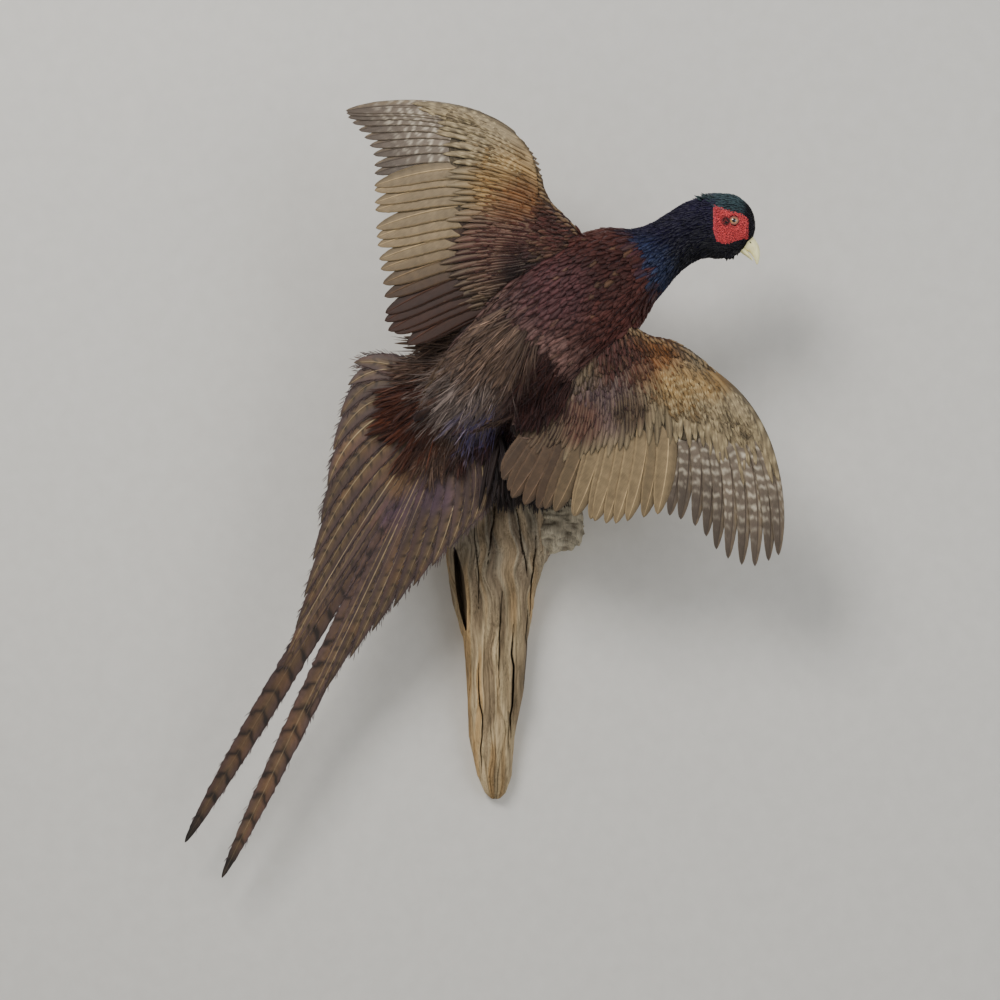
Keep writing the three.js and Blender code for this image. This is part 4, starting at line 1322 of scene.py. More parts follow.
def wing_coat(wing, number, points, faces, part, tree):
    """An arm's coverts: long ones on both sides, and small soft ones towards the front."""
    rng = np.random.default_rng(700 + number)
    name = wing["name"]
    long_coat = Plumage(f"long_coverts_{name}", FLIGHT_FEATHER, "plumage_wing")
    coat = Plumage(f"small_coverts_{name}", WING_FEATHER, "plumage_wing")
    solids = [node_mesh(f"wing_{name}_{piece}") for piece in ("arm", "secondaries", "primaries")]
    vertices, triangles, _ = merged(solids)
    wing_tree = tree_of(vertices, triangles)
    for side in (-1, 1):
        covert_strips(long_coat, wing, wing_tree, side, rng)
    long_coat.build()

    arm = part[faces[:, 0]] == FLESH.index(f"wing_{name}_arm")
    spots, normals = scatter(points, faces[arm], even_gap(3.3), 80 + number)
    lead_gap = distance_to_curve(wing["leading"], spots)
    out, _ = wing_places(wing, spots[:, 0], spots[:, 2])
    limit = SMALL_COVERTS * (2.0 - 1.0 * smooth(0.1, 0.4, out) - 0.68 * smooth(0.36, 0.56, out))
    kept = lead_gap < limit * rng.uniform(0.8, 1.1, len(spots))
    spots, normals, lead_gap = spots[kept], normals[kept], lead_gap[kept]
    flat = quill_direction(wing, spots[:, 0], spots[:, 2])
    heading = np.stack([flat[:, 0], np.zeros(len(flat)), flat[:, 1]], -1)
    heading = unit(heading + rng.normal(0, 0.1, heading.shape))
    root, middle, tip, edge = wing_colours(wing, spots, rng)
    pale = 0.8 * (1 - smooth(2, 10, lead_gap))
    middle, edge = mix(middle, TAN, pale), mix(edge, TAN, pale)
    grow = 0.75 + 0.5 * smooth(5, 45, lead_gap)
    lengths = rng.uniform(9, 14, len(spots)) * grow
    unwrapped = unwrap_wing(wing, spots)
    rise = rng.uniform(2.0, 3.0, len(spots)) * (0.45 + 0.55 * smooth(0, 12, lead_gap))
    halves = rng.uniform(1.7, 2.4, len(spots)) * grow
    coat_of(coat, tree, spots, normals, heading, lengths, halves, (root, middle, tip, edge),
            rise, unwrapped, rng)
    loose = np.repeat(np.flatnonzero(lead_gap > 9), 4)
    shade = middle[loose] * np.exp(rng.normal(0, 0.35, (len(loose), 1)))
    hairs(coat, tree, spots[loose] + rng.normal(0, 1.2, (len(loose), 3)), normals[loose],
          heading[loose], lengths[loose] * rng.uniform(0.7, 1.25, len(loose)),
          rng.uniform(0.25, 0.5, len(loose)), shade,
          rise[loose] * rng.uniform(0.9, 1.3, len(loose)), unwrapped[loose], rng)
    coat.build()


def distance_to_curve(curve, points):
    """How far places are, seen from the front, from a curve in x and z."""
    line = spline(curve, np.linspace(0, 1, 120))
    return np.hypot(points[:, :1] - line[:, 0], points[:, 2:] - line[:, 1]).min(axis=1)


# ------------------------------------------------------------ tail

def tail_colours(count, rows, rng, lengths, middle_pair, lines):
    """Purplish-brown feathers with tan middles and dark bars, longer on the middle pair. The
    purple along the sides and in patches is painted sheen.
    """
    along, across, own = flight_base(rows, count, rng)
    distance = along * lengths[:, None, None]
    wobble = value_noise(distance / 8 + own * 60, across * 2.5 + own * 45 + 9, 14)
    fine = value_noise(distance / 2 + own * 35, across * 6 + own * 25 + 9, 17)
    cloud = value_noise(distance / 30 + own * 20, across * 0.7 + own * 65 + 9, 19)
    aside = np.abs(across)
    middle = middle_pair[:, None, None]
    phase = (distance - 3 * aside + 3 * wobble) / (16 + 9 * (middle > 0.9)) + own * (middle < 0.9)
    bar = smooth(0.78, 0.93, np.cos(2 * math.pi * phase) * 0.5 + 0.5)
    places = np.stack([lines[..., 0], 0 * lines[..., 0], lines[..., 1]], -1).reshape(-1, 3)
    # Patches of painted purple sheen.
    purple_sheen = near(places, -70, 110, 27) + near(places, -112, 96, 30)
    tan = near(places, -108, 128, 30)
    purple_sheen, tan = (patch.reshape(count, rows, 1) for patch in (purple_sheen, tan))
    shade = np.broadcast_to(screen_colour("#4f3e33"), (count, rows, len(LARGE_SECTION), 3))
    shade = tint(shade, "#77613f", (1 - smooth(0.1, 0.6, aside)) * (0.3 + 0.25 * cloud))
    shade = tint(shade, "#5b4330", 0.5 * middle)
    # Painted purple sheen along the sides of each feather.
    shade = tint(shade, "#4a3a3c", smooth(0.3, 0.8, aside) * (0.3 + 0.4 * cloud))
    shade = tint(shade, "#735036", smooth(0.6, 0.95, cloud) * 0.3)
    shade = tint(shade, "#4f3950", 0.45 * purple_sheen)
    shade = tint(shade, "#7d5c34", 0.5 * tan)
    shade = mix(shade, shade * 0.45, fine * 0.5)
    shade = tint(shade, "#120e0d", bar * (
        0.85 * middle * (1 - smooth(0.8, 1.0, aside))
        + 0.65 * (1 - middle) * (1 - smooth(0.2, 0.6, aside))))
    shade = tint(shade, "#1a1512", smooth(0.9, 0.97, along) * (0.3 + 0.6 * middle))
    shade = tint(shade, "#a08d6c", (aside < SHAFT) * (0.25 + 0.5 * own) * (1 - 0.7 * middle))
    return with_seed(shade * (0.8 + 0.4 * own[..., None]), own)


def tail_sheet(x, z):
    """y of the shallow cone that the tail lies in."""
    return TAIL_ROOT[1] + TAIL_FALL * np.hypot(x - TAIL_ROOT[0], z - TAIL_ROOT[2])


def tail():
    """The tail feathers, the middle pair far the longest."""
    rng = np.random.default_rng(900)
    rows = 130
    side = np.linspace(0, 1, SIDE_FEATHERS)
    tips = np.concatenate([spline(TAIL_LEFT, side), np.array(TAIL_MIDDLE, float),
                           spline(TAIL_RIGHT, side)])
    count = len(tips)
    share = np.linspace(0, 1, count)
    start = spline(TAIL_BASE, share)
    bow = np.interp(share, *TAIL_BOW)
    outwards = unit(tips - start)[:, ::-1] * (1, -1)
    lines = bowed(start, (start + tips) / 2 + 2 * bow[:, None] * outwards, tips, rows)
    lengths = np.linalg.norm(np.diff(lines, axis=1), axis=-1).sum(1)
    is_middle = np.isin(np.arange(count), [SIDE_FEATHERS, SIDE_FEATHERS + 1])
    half = np.where(is_middle[:, None], 13 * flight_width(rows, 0.6, 0.35),
                    12.5 * flight_width(rows, 0.45, 0.4, 0.75))
    order = np.abs(np.arange(count) - (count - 1) / 2) / (count / 2)
    layer = (-1.6 + 3.2 * order)[:, None, None]
    tilt = np.where(np.arange(count) < count / 2, -0.09, 0.09)[:, None, None]
    points = flight_points(lines, half, tail_sheet, rng, tilt=tilt, layer=layer, sweep=0.6,
                           ragged=0.035, thick=0.5)
    neighbours = np.isin(np.arange(count), [SIDE_FEATHERS - 1, SIDE_FEATHERS + 2])
    places, size = strip_places(count, 0.78, 0.62)
    feathers = Plumage("tail_feathers", TAIL_FEATHER, "tail_feathers")
    feathers.add(points, LARGE_SECTION, LARGE_UPPER,
                 tail_colours(count, rows, rng, lengths, is_middle + 0.5 * neighbours, lines),
                 places, size * [1, 3])
    fringe(feathers, lines, half, layer[:, 0, 0], tilt[:, 0, 0], places, rng)
    feathers.build()


def fringe(coat, lines, half, layer, tilt, places, rng):
    """Fine loose barbs along both edges of the tail feathers."""
    count, rows = lines.shape[:2]
    feather = np.repeat(np.arange(count), 90)
    share = rng.uniform(0.12, 0.97, len(feather))
    row = (share * (rows - 1)).astype(int)
    side = rng.choice([-1, 1], len(feather))
    way = unit(np.gradient(lines, axis=1))[feather, row]
    across = np.stack([-way[:, 1], way[:, 0]], -1) * side[:, None]
    wide = 0.93 * half[feather, row]
    start = lines[feather, row] + (across + 0.6 * way) * wide[:, None]
    heading = unit(way + across * rng.uniform(0.1, 0.45, (len(feather), 1)))
    reach = np.linspace(0, 1, 4)[None, :, None] * rng.uniform(4, 10, (len(feather), 1, 1))
    flat = start[:, None] + heading[:, None] * reach
    level = layer[feather] + tilt[feather] * side * wide
    height = tail_sheet(flat[..., 0], flat[..., 1]) + level[:, None] - 0.1
    centre = np.stack([flat[..., 0], height, flat[..., 1]], -1)
    shade = screen_colour("#4b3a33") * np.exp(rng.normal(0, 0.35, (len(feather), 1)))
    spots = places[feather] + np.stack([0 * share, 0.3 * (share - 0.5)], -1)
    add_plumes(coat, centre, unit(np.gradient(centre, axis=1)),
               rng.uniform(0.22, 0.45, len(feather)), shade, spots, rng)


def front_height(tree, x, z):
    """y of the bird's front, or where there is no skin, of the sheet its tail lies in."""
    return np.fmin(tail_sheet(x, z), seen_height(tree, x, z, -1))


def draped(tree, roots, headings, lengths, rise, bend, rows):
    """Centre lines of plumes that fall over the bird's front: centres and directions."""
    reach = np.linspace(0, 1, rows)[None, :, None]
    across = headings[:, ::-1] * (1, -1)
    flat = (roots[:, None, [0, 2]] + headings[:, None] * lengths[:, None, None] * reach
            + across[:, None] * bend[:, None, None] * reach ** 2)
    height = evened(front_height(tree, flat[..., 0], flat[..., 1]), 4)
    height = height - rise[:, None] * np.linspace(0.3, 1, rows) ** 0.7
    centre = np.stack([flat[..., 0], height, flat[..., 1]], -1)
    return centre, unit(np.gradient(centre, axis=1))


def add_plumes(coat, centre, heading, half, shade, unwrapped, rng):
    """Adds vanes round centre lines that face the viewer."""
    rows = centre.shape[1]
    facing = np.broadcast_to(VIEWER, centre.shape)
    facing = unit(square(facing, heading))
    width = half[:, None] * vane_width(rows, 0.4, 0.5, 0.12)
    shapes = small_vanes(centre, heading, facing, width, 0.3, 0.1)
    shades = feather_colours(shade * 0.75, shade, shade * 0.85, rows, SMALL_SECTION,
                             rng.random(len(centre)))
    coat.add(shapes, SMALL_SECTION, SMALL_UPPER, shades, unwrapped)


def rump_plumes(points, faces, part, tree):
    """Long loose plumes of the rump and flanks that hang over the base of the tail."""
    rng = np.random.default_rng(950)
    coat = Plumage("rump_plumes", BODY_FEATHER, "plumage_dark")
    trunk = part[faces[:, 0]] == FLESH.index("trunk")
    spots, normals = scatter(points, faces[trunk], even_gap(4.6), 62)
    place, _ = along_body(spots)
    kept = (place < 3.6) & (normals[:, 1] < 0.1)
    spots, place = spots[kept], place[kept]
    side = (spots[:, 0] - spots[:, 2]) / math.sqrt(2) + 190
    turn = smooth(-30, 34, side)
    heading = mix(np.array([-1.0, -0.3]), np.array([-0.45, -1.0]), turn)
    heading = unit(heading + rng.normal(0, 0.13, heading.shape))
    lengths = rng.uniform(38, 64, len(spots)) * (1 - 0.3 * smooth(20, 50, side))
    dark = mix(screen_colour("#604d40"), screen_colour("#30150f"), smooth(22, 44, side))
    # The pale grey and the blue-violet patches are painted sheen on the rump; the rust patch is
    # the plumes' own colour.
    dark = patched(dark, spots, (-82, 202, 50, screen_colour("#3f1a07"), 0.95),
                   (-30, 214, 44, screen_colour("#7b6f69"), 0.75),
                   (-22, 196, 22, screen_colour("#575180"), 0.8))
    shade = dark * np.exp(rng.normal(0, 0.22, (len(spots), 1)))
    rise = rng.uniform(2.5, 6, len(spots)) + 2 * smooth(1, 3, place)
    unwrapped = unwrap_body(spots)
    bend = rng.normal(0, 5, len(spots))
    centre, way = draped(tree, spots, heading, lengths, rise, bend, 12)
    add_plumes(coat, centre, way, rng.uniform(1.8, 3.0, len(spots)), shade, unwrapped, rng)
    loose = np.repeat(np.arange(len(spots)), 7)
    count = len(loose)
    centre, way = draped(
        tree, spots[loose] + rng.normal(0, 2.5, (count, 3)),
        unit(heading[loose] + rng.normal(0, 0.1, (count, 2))),
        lengths[loose] * rng.uniform(0.6, 1.15, count),
        rise[loose] * rng.uniform(0.7, 1.4, count), bend[loose] + rng.normal(0, 3, count), 7)
    tone = shade[loose] * np.exp(rng.normal(0, 0.4, (count, 1)))
    add_plumes(coat, centre, way, rng.uniform(0.28, 0.6, count), tone, unwrapped[loose], rng)
    coat.build()


def thigh_coat(points, faces, part, tree):
    """Dark feathers of the thighs, and dark plumes that hang between the tail and the wood, partly
    dark feathers and partly a painted shadow of the gap.
    """
    rng = np.random.default_rng(300)
    coat = Plumage("thigh_feathers_and_shadow_plumes", BODY_FEATHER, "plumage_dark")
    thighs = np.isin(part[faces[:, 0]], [FLESH.index("thigh_left"), FLESH.index("thigh_right")])
    spots, normals = scatter(points, faces[thighs], even_gap(3.6), 61)
    heading = np.tile([0.1, 0.25, -1.0], (len(spots), 1)) + rng.normal(0, 0.15, (len(spots), 3))
    shade = BELLY * rng.uniform(0.7, 1.5, (len(spots), 1))
    colours = (shade * 0.6, shade, shade * 0.8, shade * 0.7)
    coat_of(coat, tree, spots, normals, heading, rng.uniform(18, 34, len(spots)),
            rng.uniform(2.2, 3.4, len(spots)), colours, rng.uniform(1.5, 2.4, len(spots)),
            unwrap_body(spots), rng, thick=0.4)
    # Dark plumes put where the gap above the wood lies in shadow: a painted shadow, partly real
    # dark feathers.
    count, rows = 420, 9
    wanted = np.stack([rng.uniform(-12, 44, count), rng.uniform(-130, -80, count),
                       rng.uniform(150, 176, count)], -1)
    roots, _, _ = nearest(tree, wanted)
    roots = roots[roots[:, 1] > -150]
    count = len(roots)
    reach = np.linspace(0, 1, rows)[None, :, None]
    way = unit(np.array([0.02, 0.06, -1.0]) + rng.normal(0, 0.16, (count, 3)))
    far = roots[:, 2, None, None] - rng.uniform(88, 122, count)[:, None, None]
    centre = roots[:, None] + way[:, None] * reach * far
    centre = centre + np.array([1.0, 0, 0]) * rng.normal(0, 4, (count, 1, 1)) * reach ** 2
    shade = BELLY * np.exp(rng.normal(0, 0.35, (count, 1)))
    add_plumes(coat, centre, unit(np.gradient(centre, axis=1)), rng.uniform(1.2, 3.2, count),
               shade, unwrap_body(roots), rng)
    coat.build()


# ------------------------------------------------------------ head

def bill():
    """Upper and lower bill with a hooked tip, a nostril flap and a gape."""
    horn = horn_material("horn", (0.95, 0.91, 0.48), (0.74, 0.66, 0.32))
    swell = lambda place, angle: (
        1 - 0.06 * np.exp(-((place - 0.5) / 0.2) ** 2) * np.cos(angle) ** 8)
    upper = loft(round_rings(BILL_UPPER, np.linspace(0, 1, 34), 28, swell))
    flaps = [ellipsoid((228.6, HEAD_MIDDLE + side * 5.4, 353.4), (2.7, 1.3, 1.5), 16, 10, -0.8)
             for side in (-1, 1)]
    add_piece("bill_upper_horn", join_parts([upper, *flaps]), horn, "horn", ["bill_upper"])
    lower = loft(round_rings(BILL_LOWER, np.linspace(0, 1, 24), 22))
    add_piece("bill_lower_horn", lower, horn, "horn", ["bill_lower"])
    # The nostril openings as near-black lumps: painted shade of the holes.
    holes = join_parts([
        ellipsoid((229.6, HEAD_MIDDLE + side * 6.35, 352.4), (1.5, 0.4, 0.55), 14, 8, -0.85)
        for side in (-1, 1)])
    dark = painted_material("nostril", (900,) * 3, 4.0, (0.72, 1.15), (0.2, 0.0006),
                            Roughness=0.9)
    add_piece("nostrils", holes, dark, "horn",
              colours=point_colours(len(holes[0]), screen_colour("#120d08")))


def ellipsoid(centre, radii, around, down, tilt):
    """A closed ball with three radii, turned by tilt about y."""
    angle = circle(around)
    fall = np.linspace(0.12, math.pi - 0.12, down)[:, None]
    x = radii[0] * np.cos(fall) + 0 * angle
    y = radii[1] * np.sin(fall) * np.cos(angle)
    z = radii[2] * np.sin(fall) * np.sin(angle)
    turned = np.stack([x * math.cos(tilt) - z * math.sin(tilt), y,
                       x * math.sin(tilt) + z * math.cos(tilt)], -1)
    return loft(turned + centre)


def eyes():
    """Glass eyes, black and pale orange and dark at the rim, with lids round them."""
    glass = painted_material("eye", (1500, 200, 1500), 3.0, (0.7, 1.2), Roughness=0.08,
                             Coat_Weight=1.0, Coat_Roughness=0.02)
    lid_skin = painted_material("eyelid", (1200,) * 3, 4.0, (0.72, 1.15), (0.4, 0.0006),
                                Roughness=0.6, Subsurface_Weight=0.1, Subsurface_Scale=0.001)
    angle = circle(48)
    fall = np.linspace(0.03, math.pi - 0.03, 44)[:, None]
    for side, name in ((-1, "right"), (1, "left")):
        centre = np.array([EYE[0], HEAD_MIDDLE + side * EYE_DEPTH, EYE[1]])
        x = EYE_RADIUS * np.sin(fall) * np.cos(angle)
        z = EYE_RADIUS * np.sin(fall) * np.sin(angle)
        y = side * EYE_RADIUS * np.cos(fall) + 0 * angle
        vertices, quads, caps = loft(np.stack([x, y, z], -1) + centre)
        if side > 0:
            quads, caps = quads[:, ::-1], caps[:, ::-1]
        away = np.degrees(np.arccos(np.clip(side * (vertices[:, 1] - centre[1]) / EYE_RADIUS,
                                            -1, 1)))
        shade = mix(screen_colour("#060403"), screen_colour("#c08a5a"), smooth(24, 28, away))
        shade = tint(shade, "#2a1408", smooth(50, 56, away))
        add_piece(f"eyeball_{name}", (vertices, quads, caps), glass, "eye", [f"eye_{name}"],
                  colours=point_colours(len(vertices), shade))
        lid_ring(lid_skin, centre, side, name)


def lid_ring(material, centre, side, name):
    """Upper and lower lid: a rounded rim whose opening is an almond."""
    around, sides = 64, 14
    angle = circle(around)
    turn = circle(sides)
    half_wide, half_high, half_low = 3.7, 2.6, 2.9
    open_x = half_wide * np.cos(angle)
    open_z = np.sin(angle) * np.where(np.sin(angle) > 0, half_high, half_low)
    size = 0.5 + 0.15 * np.sin(angle) ** 2
    out = unit(np.stack([open_x / half_wide ** 2, open_z / 2.8 ** 2], -1))
    deep = np.sqrt(np.maximum(EYE_RADIUS ** 2 - open_x ** 2 - open_z ** 2, 0))
    wrinkle = 1 + 0.12 * np.sin(angle * 22)[:, None] * np.sin(turn)
    push = size[:, None] * (0.9 + 1.1 * np.cos(turn)) * wrinkle
    x = centre[0] + open_x[:, None] + out[:, :1] * push
    z = centre[2] + open_z[:, None] + out[:, 1:] * push
    y = centre[1] + side * (deep[:, None] - 0.15 + size[:, None] * 0.75 * np.sin(turn)
                            - 0.28 * push)
    points = np.stack([x, y, z], -1).reshape(-1, 3)
    quads = tube_quads(around + 1, sides) % len(points)  # the last ring is the first
    if side < 0:
        quads = quads[:, ::-1]
    rng = np.random.default_rng(5)
    add_piece(f"eyelids_{name}", (points, quads), material, "wattle",
              colours=point_colours(len(points), screen_colour("#8c5248"), rng, 0.12))


def head_side(tree, x, z, side, depth):
    """Place and normal on one side of the head, or at `depth` where there is no skin."""
    outside = Vector((x, HEAD_MIDDLE + side * 60, z))
    hit, normal, _, _ = tree.ray_cast(outside, Vector((0, -side, 0)))
    if hit is None:
        return Vector((x, HEAD_MIDDLE + side * depth, z)), Vector((0, side, 0))
    return hit, normal


# A papilla's rings from base to top: rise and reach as shares, and how light they are: painted
# shade at the base, where the papillae meet, and a painted highlight towards the top.
DOME_RISE = np.array([0.0, 0.5, 0.85, 1.0])
DOME_REACH = np.array([1.0, 0.92, 0.6, 0.18])
DOME_TONE = np.array([0.75, 0.9, 1.05, 1.12])
DOME_SIDES = 7
PAPILLA_GAP = 0.98
PAPILLA_TRIES = 9000
EYE_CLEAR = 4.6  # no papilla is closer to the middle of the eye


def wattles(tree):
    """Bare red skin round each eye, set with small round papillae."""
    material = painted_material("wattle", (700,) * 3, 3.0, (0.6, 1.25), (0.4, 0.0004),
                                Roughness=0.62, Subsurface_Weight=0.12, Subsurface_Scale=0.002)
    rng = np.random.default_rng(31)
    dome_angle = circle(DOME_SIDES)
    for side, name in ((-1, "right"), (1, "left")):
        low, high = WATTLE_OUTLINE.min(axis=0), WATTLE_OUTLINE.max(axis=0)
        tries = rng.uniform(low, high, (PAPILLA_TRIES, 2))
        kept = []
        for spot in tries:
            if not kept or (np.hypot(*(np.array(kept) - spot).T) > PAPILLA_GAP).all():
                kept.append(spot)
        kept = np.array(kept)
        flat = np.stack([kept[:, 0], np.zeros(len(kept)), kept[:, 1]], -1)
        inside = inside_outline(flat, WATTLE_OUTLINE, 0.2)
        from_eye = np.hypot(kept[:, 0] - EYE[0], kept[:, 1] - EYE[1])
        kept = kept[inside & (from_eye > EYE_CLEAR)]
        found = [head_side(tree, x, z, side, 15) for x, z in kept]
        roots = np.array([tuple(hit) for hit, normal in found])
        facing = unit(np.array([tuple(normal) for hit, normal in found]))
        rise = 1.0 + 1.5 * smooth(0.5, 5, distance_to_outline(kept))
        size = rng.uniform(0.5, 0.82, len(kept))
        first = unit(np.cross(facing, np.array([0.3, 0.1, 1.0])))
        second = np.cross(facing, first)
        ring = (first[:, None] * np.cos(dome_angle)[None, :, None]
                + second[:, None] * np.sin(dome_angle)[None, :, None])
        points = (roots[:, None, None] + facing[:, None, None]
                  * ((rise - 0.9)[:, None, None, None] + (DOME_RISE * 0.8)[None, :, None, None])
                  + ring[:, None] * (size[:, None, None, None] * DOME_REACH[None, :, None, None]))
        behind = 0.3 * smooth(0, 1, (200 - kept[:, 0]) / 6)
        shade = mix(screen_colour("#d4474a"), screen_colour("#8a3550"), behind)
        shade = mix(shade, INK, near(flat[inside & (from_eye > EYE_CLEAR)], 204.6, 371.2, 6.4))
        shade = shade * rng.uniform(0.75, 1.2, (len(kept), 1))
        # Painted shade at each papilla's base and a painted highlight at its top.
        tone = shade[:, None] * DOME_TONE[None, :, None]
        colours = np.ones((len(kept), len(DOME_TONE), DOME_SIDES, 4))
        colours[..., :3] = tone[:, :, None]
        count, rings, sides = points.shape[:3]
        vertices = points.reshape(-1, 3)
        base, base_quads, base_colours = wattle_bed(tree, side)
        quads = np.concatenate([tube_quads(rings, sides, count), base_quads + len(vertices)])
        shape = np.concatenate([vertices, base]), quads, tube_ends(rings, sides, count)
        add_piece(f"wattle_skin_{name}", shape, material, "wattle", [f"wattle_{name}"],
                  colours=np.concatenate([colours.reshape(-1, 4), base_colours]))


def distance_to_outline(places):
    """How far places in x and z are from the wattle's outline."""
    best = np.full(len(places), 1e9)
    for start, end in zip(WATTLE_OUTLINE, np.roll(WATTLE_OUTLINE, -1, axis=0)):
        way = end - start
        share = np.clip((places - start) @ way / (way @ way), 0, 1)
        best = np.minimum(best, np.linalg.norm(places - start - share[:, None] * way, axis=1))
    return best


def wattle_bed(tree, side):
    """The swollen skin under the papillae, as a grid from the eye out to the outline."""
    around, steps = 96, 14
    rim = 3.9  # from the middle of the eye to where the skin starts
    angle = circle(around)
    closed = np.concatenate([WATTLE_OUTLINE, WATTLE_OUTLINE[:1]])
    line = np.concatenate([closed[:-1] + (closed[1:] - closed[:-1]) * share
                           for share in np.linspace(0, 1, 40, endpoint=False)])
    turn = np.arctan2(line[:, 1] - EYE[1], line[:, 0] - EYE[0]) % (2 * math.pi)
    order = np.argsort(turn)
    far = np.interp(angle, turn[order], np.hypot(*(line - EYE).T)[order], period=2 * math.pi)
    share = np.linspace(0, 1, steps)[:, None]
    reach = rim + (far * 1.04 - rim) * share
    x = EYE[0] + reach * np.cos(angle)
    z = EYE[1] + reach * np.sin(angle)
    points = np.empty((steps, around, 3))
    for place in np.ndindex(steps, around):
        hit, normal = head_side(tree, x[place], z[place], side, 12)
        swell = 0.35 + 0.8 * math.sin(math.pi * min(share[place[0], 0] * 1.6 + 0.25, 1))
        rise = swell - 0.8 * smooth(0.9, 1.0, share[place[0], 0])
        points[place] = hit + normal * rise
    quads = tube_quads(steps, around)
    if side > 0:
        quads = quads[:, ::-1]
    colours = point_colours(steps * around, screen_colour("#b03438"), np.random.default_rng(8),
                            0.1)
    return points.reshape(-1, 3), quads, colours


def ear_tufts(tree):
    """Longer feathers that stand up from the back of the crown, and a small chin tuft."""
    rng = np.random.default_rng(77)
    coat = Plumage("tuft_feathers", NECK_FEATHER, "plumage_neck")
    groups = (
        # x, z, side, heading, length, how many, colour
        (190, 391, -1, (-0.9, -0.15, 0.42), 8, 20, GREEN_BLACK * 0.5),
        (190, 391, 1, (-0.9, 0.15, 0.42), 8, 20, GREEN_BLACK * 0.5),
        (212, 343, -1, (-0.2, 0.1, -1.0), 6, 16, INK),
        (212, 343, 1, (-0.2, -0.1, -1.0), 6, 16, INK),
    )
    for x, z, side, heading, length, count, tint in groups:
        spots = np.stack([rng.normal(x, 3.2, count), np.full(count, HEAD_MIDDLE + side * 9.0),
                          rng.normal(z, 2.2, count)], -1)
        roots, normals, _ = nearest(tree, spots)
        way = unit(np.tile(heading, (count, 1)) + rng.normal(0, 0.12, (count, 3)))
        reach = np.linspace(0, 1, 5)[None, :, None] * rng.uniform(0.7, 1.1, count)[:, None, None]
        centre = roots[:, None] + way[:, None] * reach * length
        facing = np.tile(normals[:, None], (1, 5, 1))
        facing = unit(square(facing, way[:, None]))
        heads = np.tile(way[:, None], (1, 5, 1))
        half = 1.3 * np.tile(vane_width(5, 0.4, 0.5, 0.1), (count, 1))
        shade = tint * rng.uniform(0.7, 1.4, (count, 1))
        shades = feather_colours(shade, shade, shade, 5, SMALL_SECTION, rng.random(count))
        coat.add(small_vanes(centre, heads, facing, half, 0.3), SMALL_SECTION, SMALL_UPPER,
                 shades, unwrap_body(roots))
    coat.build()


# ------------------------------------------------------------ legs, wood and hanger

# Stations of the parts of a foot. A shank's are the share of the way from heel to ankle,
# and its width and depth as shares of its radius. A toe's and a claw's are the share of the
# toe's length, the height, and the width and depth as shares of the toe's radius. A spur's
# are how far it stands to the left and up, and its radius.
SHANK = ((-0.06, 0.8, 0.8), (0.06, 1.2, 1.2), (0.5, 0.85, 0.9), (1, 1, 0.8))
TOE = ((0, 0, 1, 1), (0.35, 0.2, 0.85, 0.9), (0.7, 0, 0.8, 0.8), (0.8, 0.2, 0.5, 0.55))
CLAW = ((0.74, 0.3, 0.5, 0.5), (0.84, 0.8, 0.42, 0.45), (0.94, -0.1, 0.26, 0.3),
        (1, -2.2, 0.25 / TOE_RADIUS, 0.25 / TOE_RADIUS))
SPUR = ((0, 0, 2.4), (-5, 0.4, 1.7), (-10, 2.4, 0.4))
SPUR_PLACE = 0.62  # from heel to ankle


def feet():
    """Scaled shanks and toes, with pads, dark claws and a spur."""
    scales = painted_material("foot_skin", (500,) * 3, 4.0, (0.72, 1.15), (0.35, 0.0006),
                              Roughness=0.55)
    horn = horn_material("claw", (0.12, 0.1, 0.08), (0.03, 0.025, 0.02))
    for leg in LEGS:
        heel = np.array(leg["heel"], float)
        ankle = np.array([*leg["foot"], FOOT_HEIGHT + 0.4])
        shank = [(*(heel + (ankle - heel) * share), TARSUS_RADIUS * wide, TARSUS_RADIUS * deep)
                 for share, wide, deep in SHANK]
        length = np.linalg.norm(ankle - heel)
        plates = lambda place, angle: 1 + 0.07 * ((place * length / 3.4) % 1) * (
            0.6 + 0.4 * np.cos(angle))
        parts = [loft(round_rings(shank, np.linspace(0, 1, 120), 24, plates))]
        claws = []
        for spread, reach in TOES:
            heading = leg["turn"] + spread
            way = np.array([math.cos(heading), math.sin(heading)])
            toe, claw = [
                [(*(ankle[:2] + reach * share * way), FOOT_HEIGHT + rise, TOE_RADIUS * wide,
                  TOE_RADIUS * deep) for share, rise, wide, deep in stations]
                for stations in (TOE, CLAW)]
            pads = lambda where, angle, reach=reach: (
                1 + 0.08 * ((where * reach / 2.2) % 1) + 0.1 * np.sin(where * 14) ** 2)
            parts.append(loft(round_rings(toe, np.linspace(0, 1, 60), 18, pads)))
            claws.append(loft(round_rings(claw, np.linspace(0, 1, 20), 12)))
        root = heel + (np.array([*leg["foot"], FOOT_HEIGHT]) - heel) * SPUR_PLACE
        spur = [(*(root + (out, 0, up)), radius, radius) for out, up, radius in SPUR]
        claws.append(loft(round_rings(spur, np.linspace(0, 1, 16), 12)))
        skin = join_parts(parts)
        colours = point_colours(len(skin[0]), screen_colour("#6d6350"),
                                np.random.default_rng(12), 0.08)
        name = leg["name"]
        add_piece(f"shank_and_toes_{name}", skin, scales, "foot_skin", [f"foot_{name}"],
                  colours=colours)
        add_piece(f"claws_{name}", join_parts(claws), horn, "horn")


# Cracks down the wood's front: x at the top, top, bottom, lean, opening, depth.
WOOD_CRACKS = ((1, -20, -142, -2, 2.4, 12), (-59, 56, -30, 12, 10, 20), (-18, 100, 36, -7, 1.7, 8),
               (-34, -60, -176, 3, 1.8, 6), (24, 70, -16, -6, 1.6, 8), (4, 96, 24, 12, 1.7, 7),
               (-38, 80, -8, 4, 1.5, 6), (-10, 20, -90, -3, 1.6, 5), (16, -10, -90, -4, 1.6, 5))
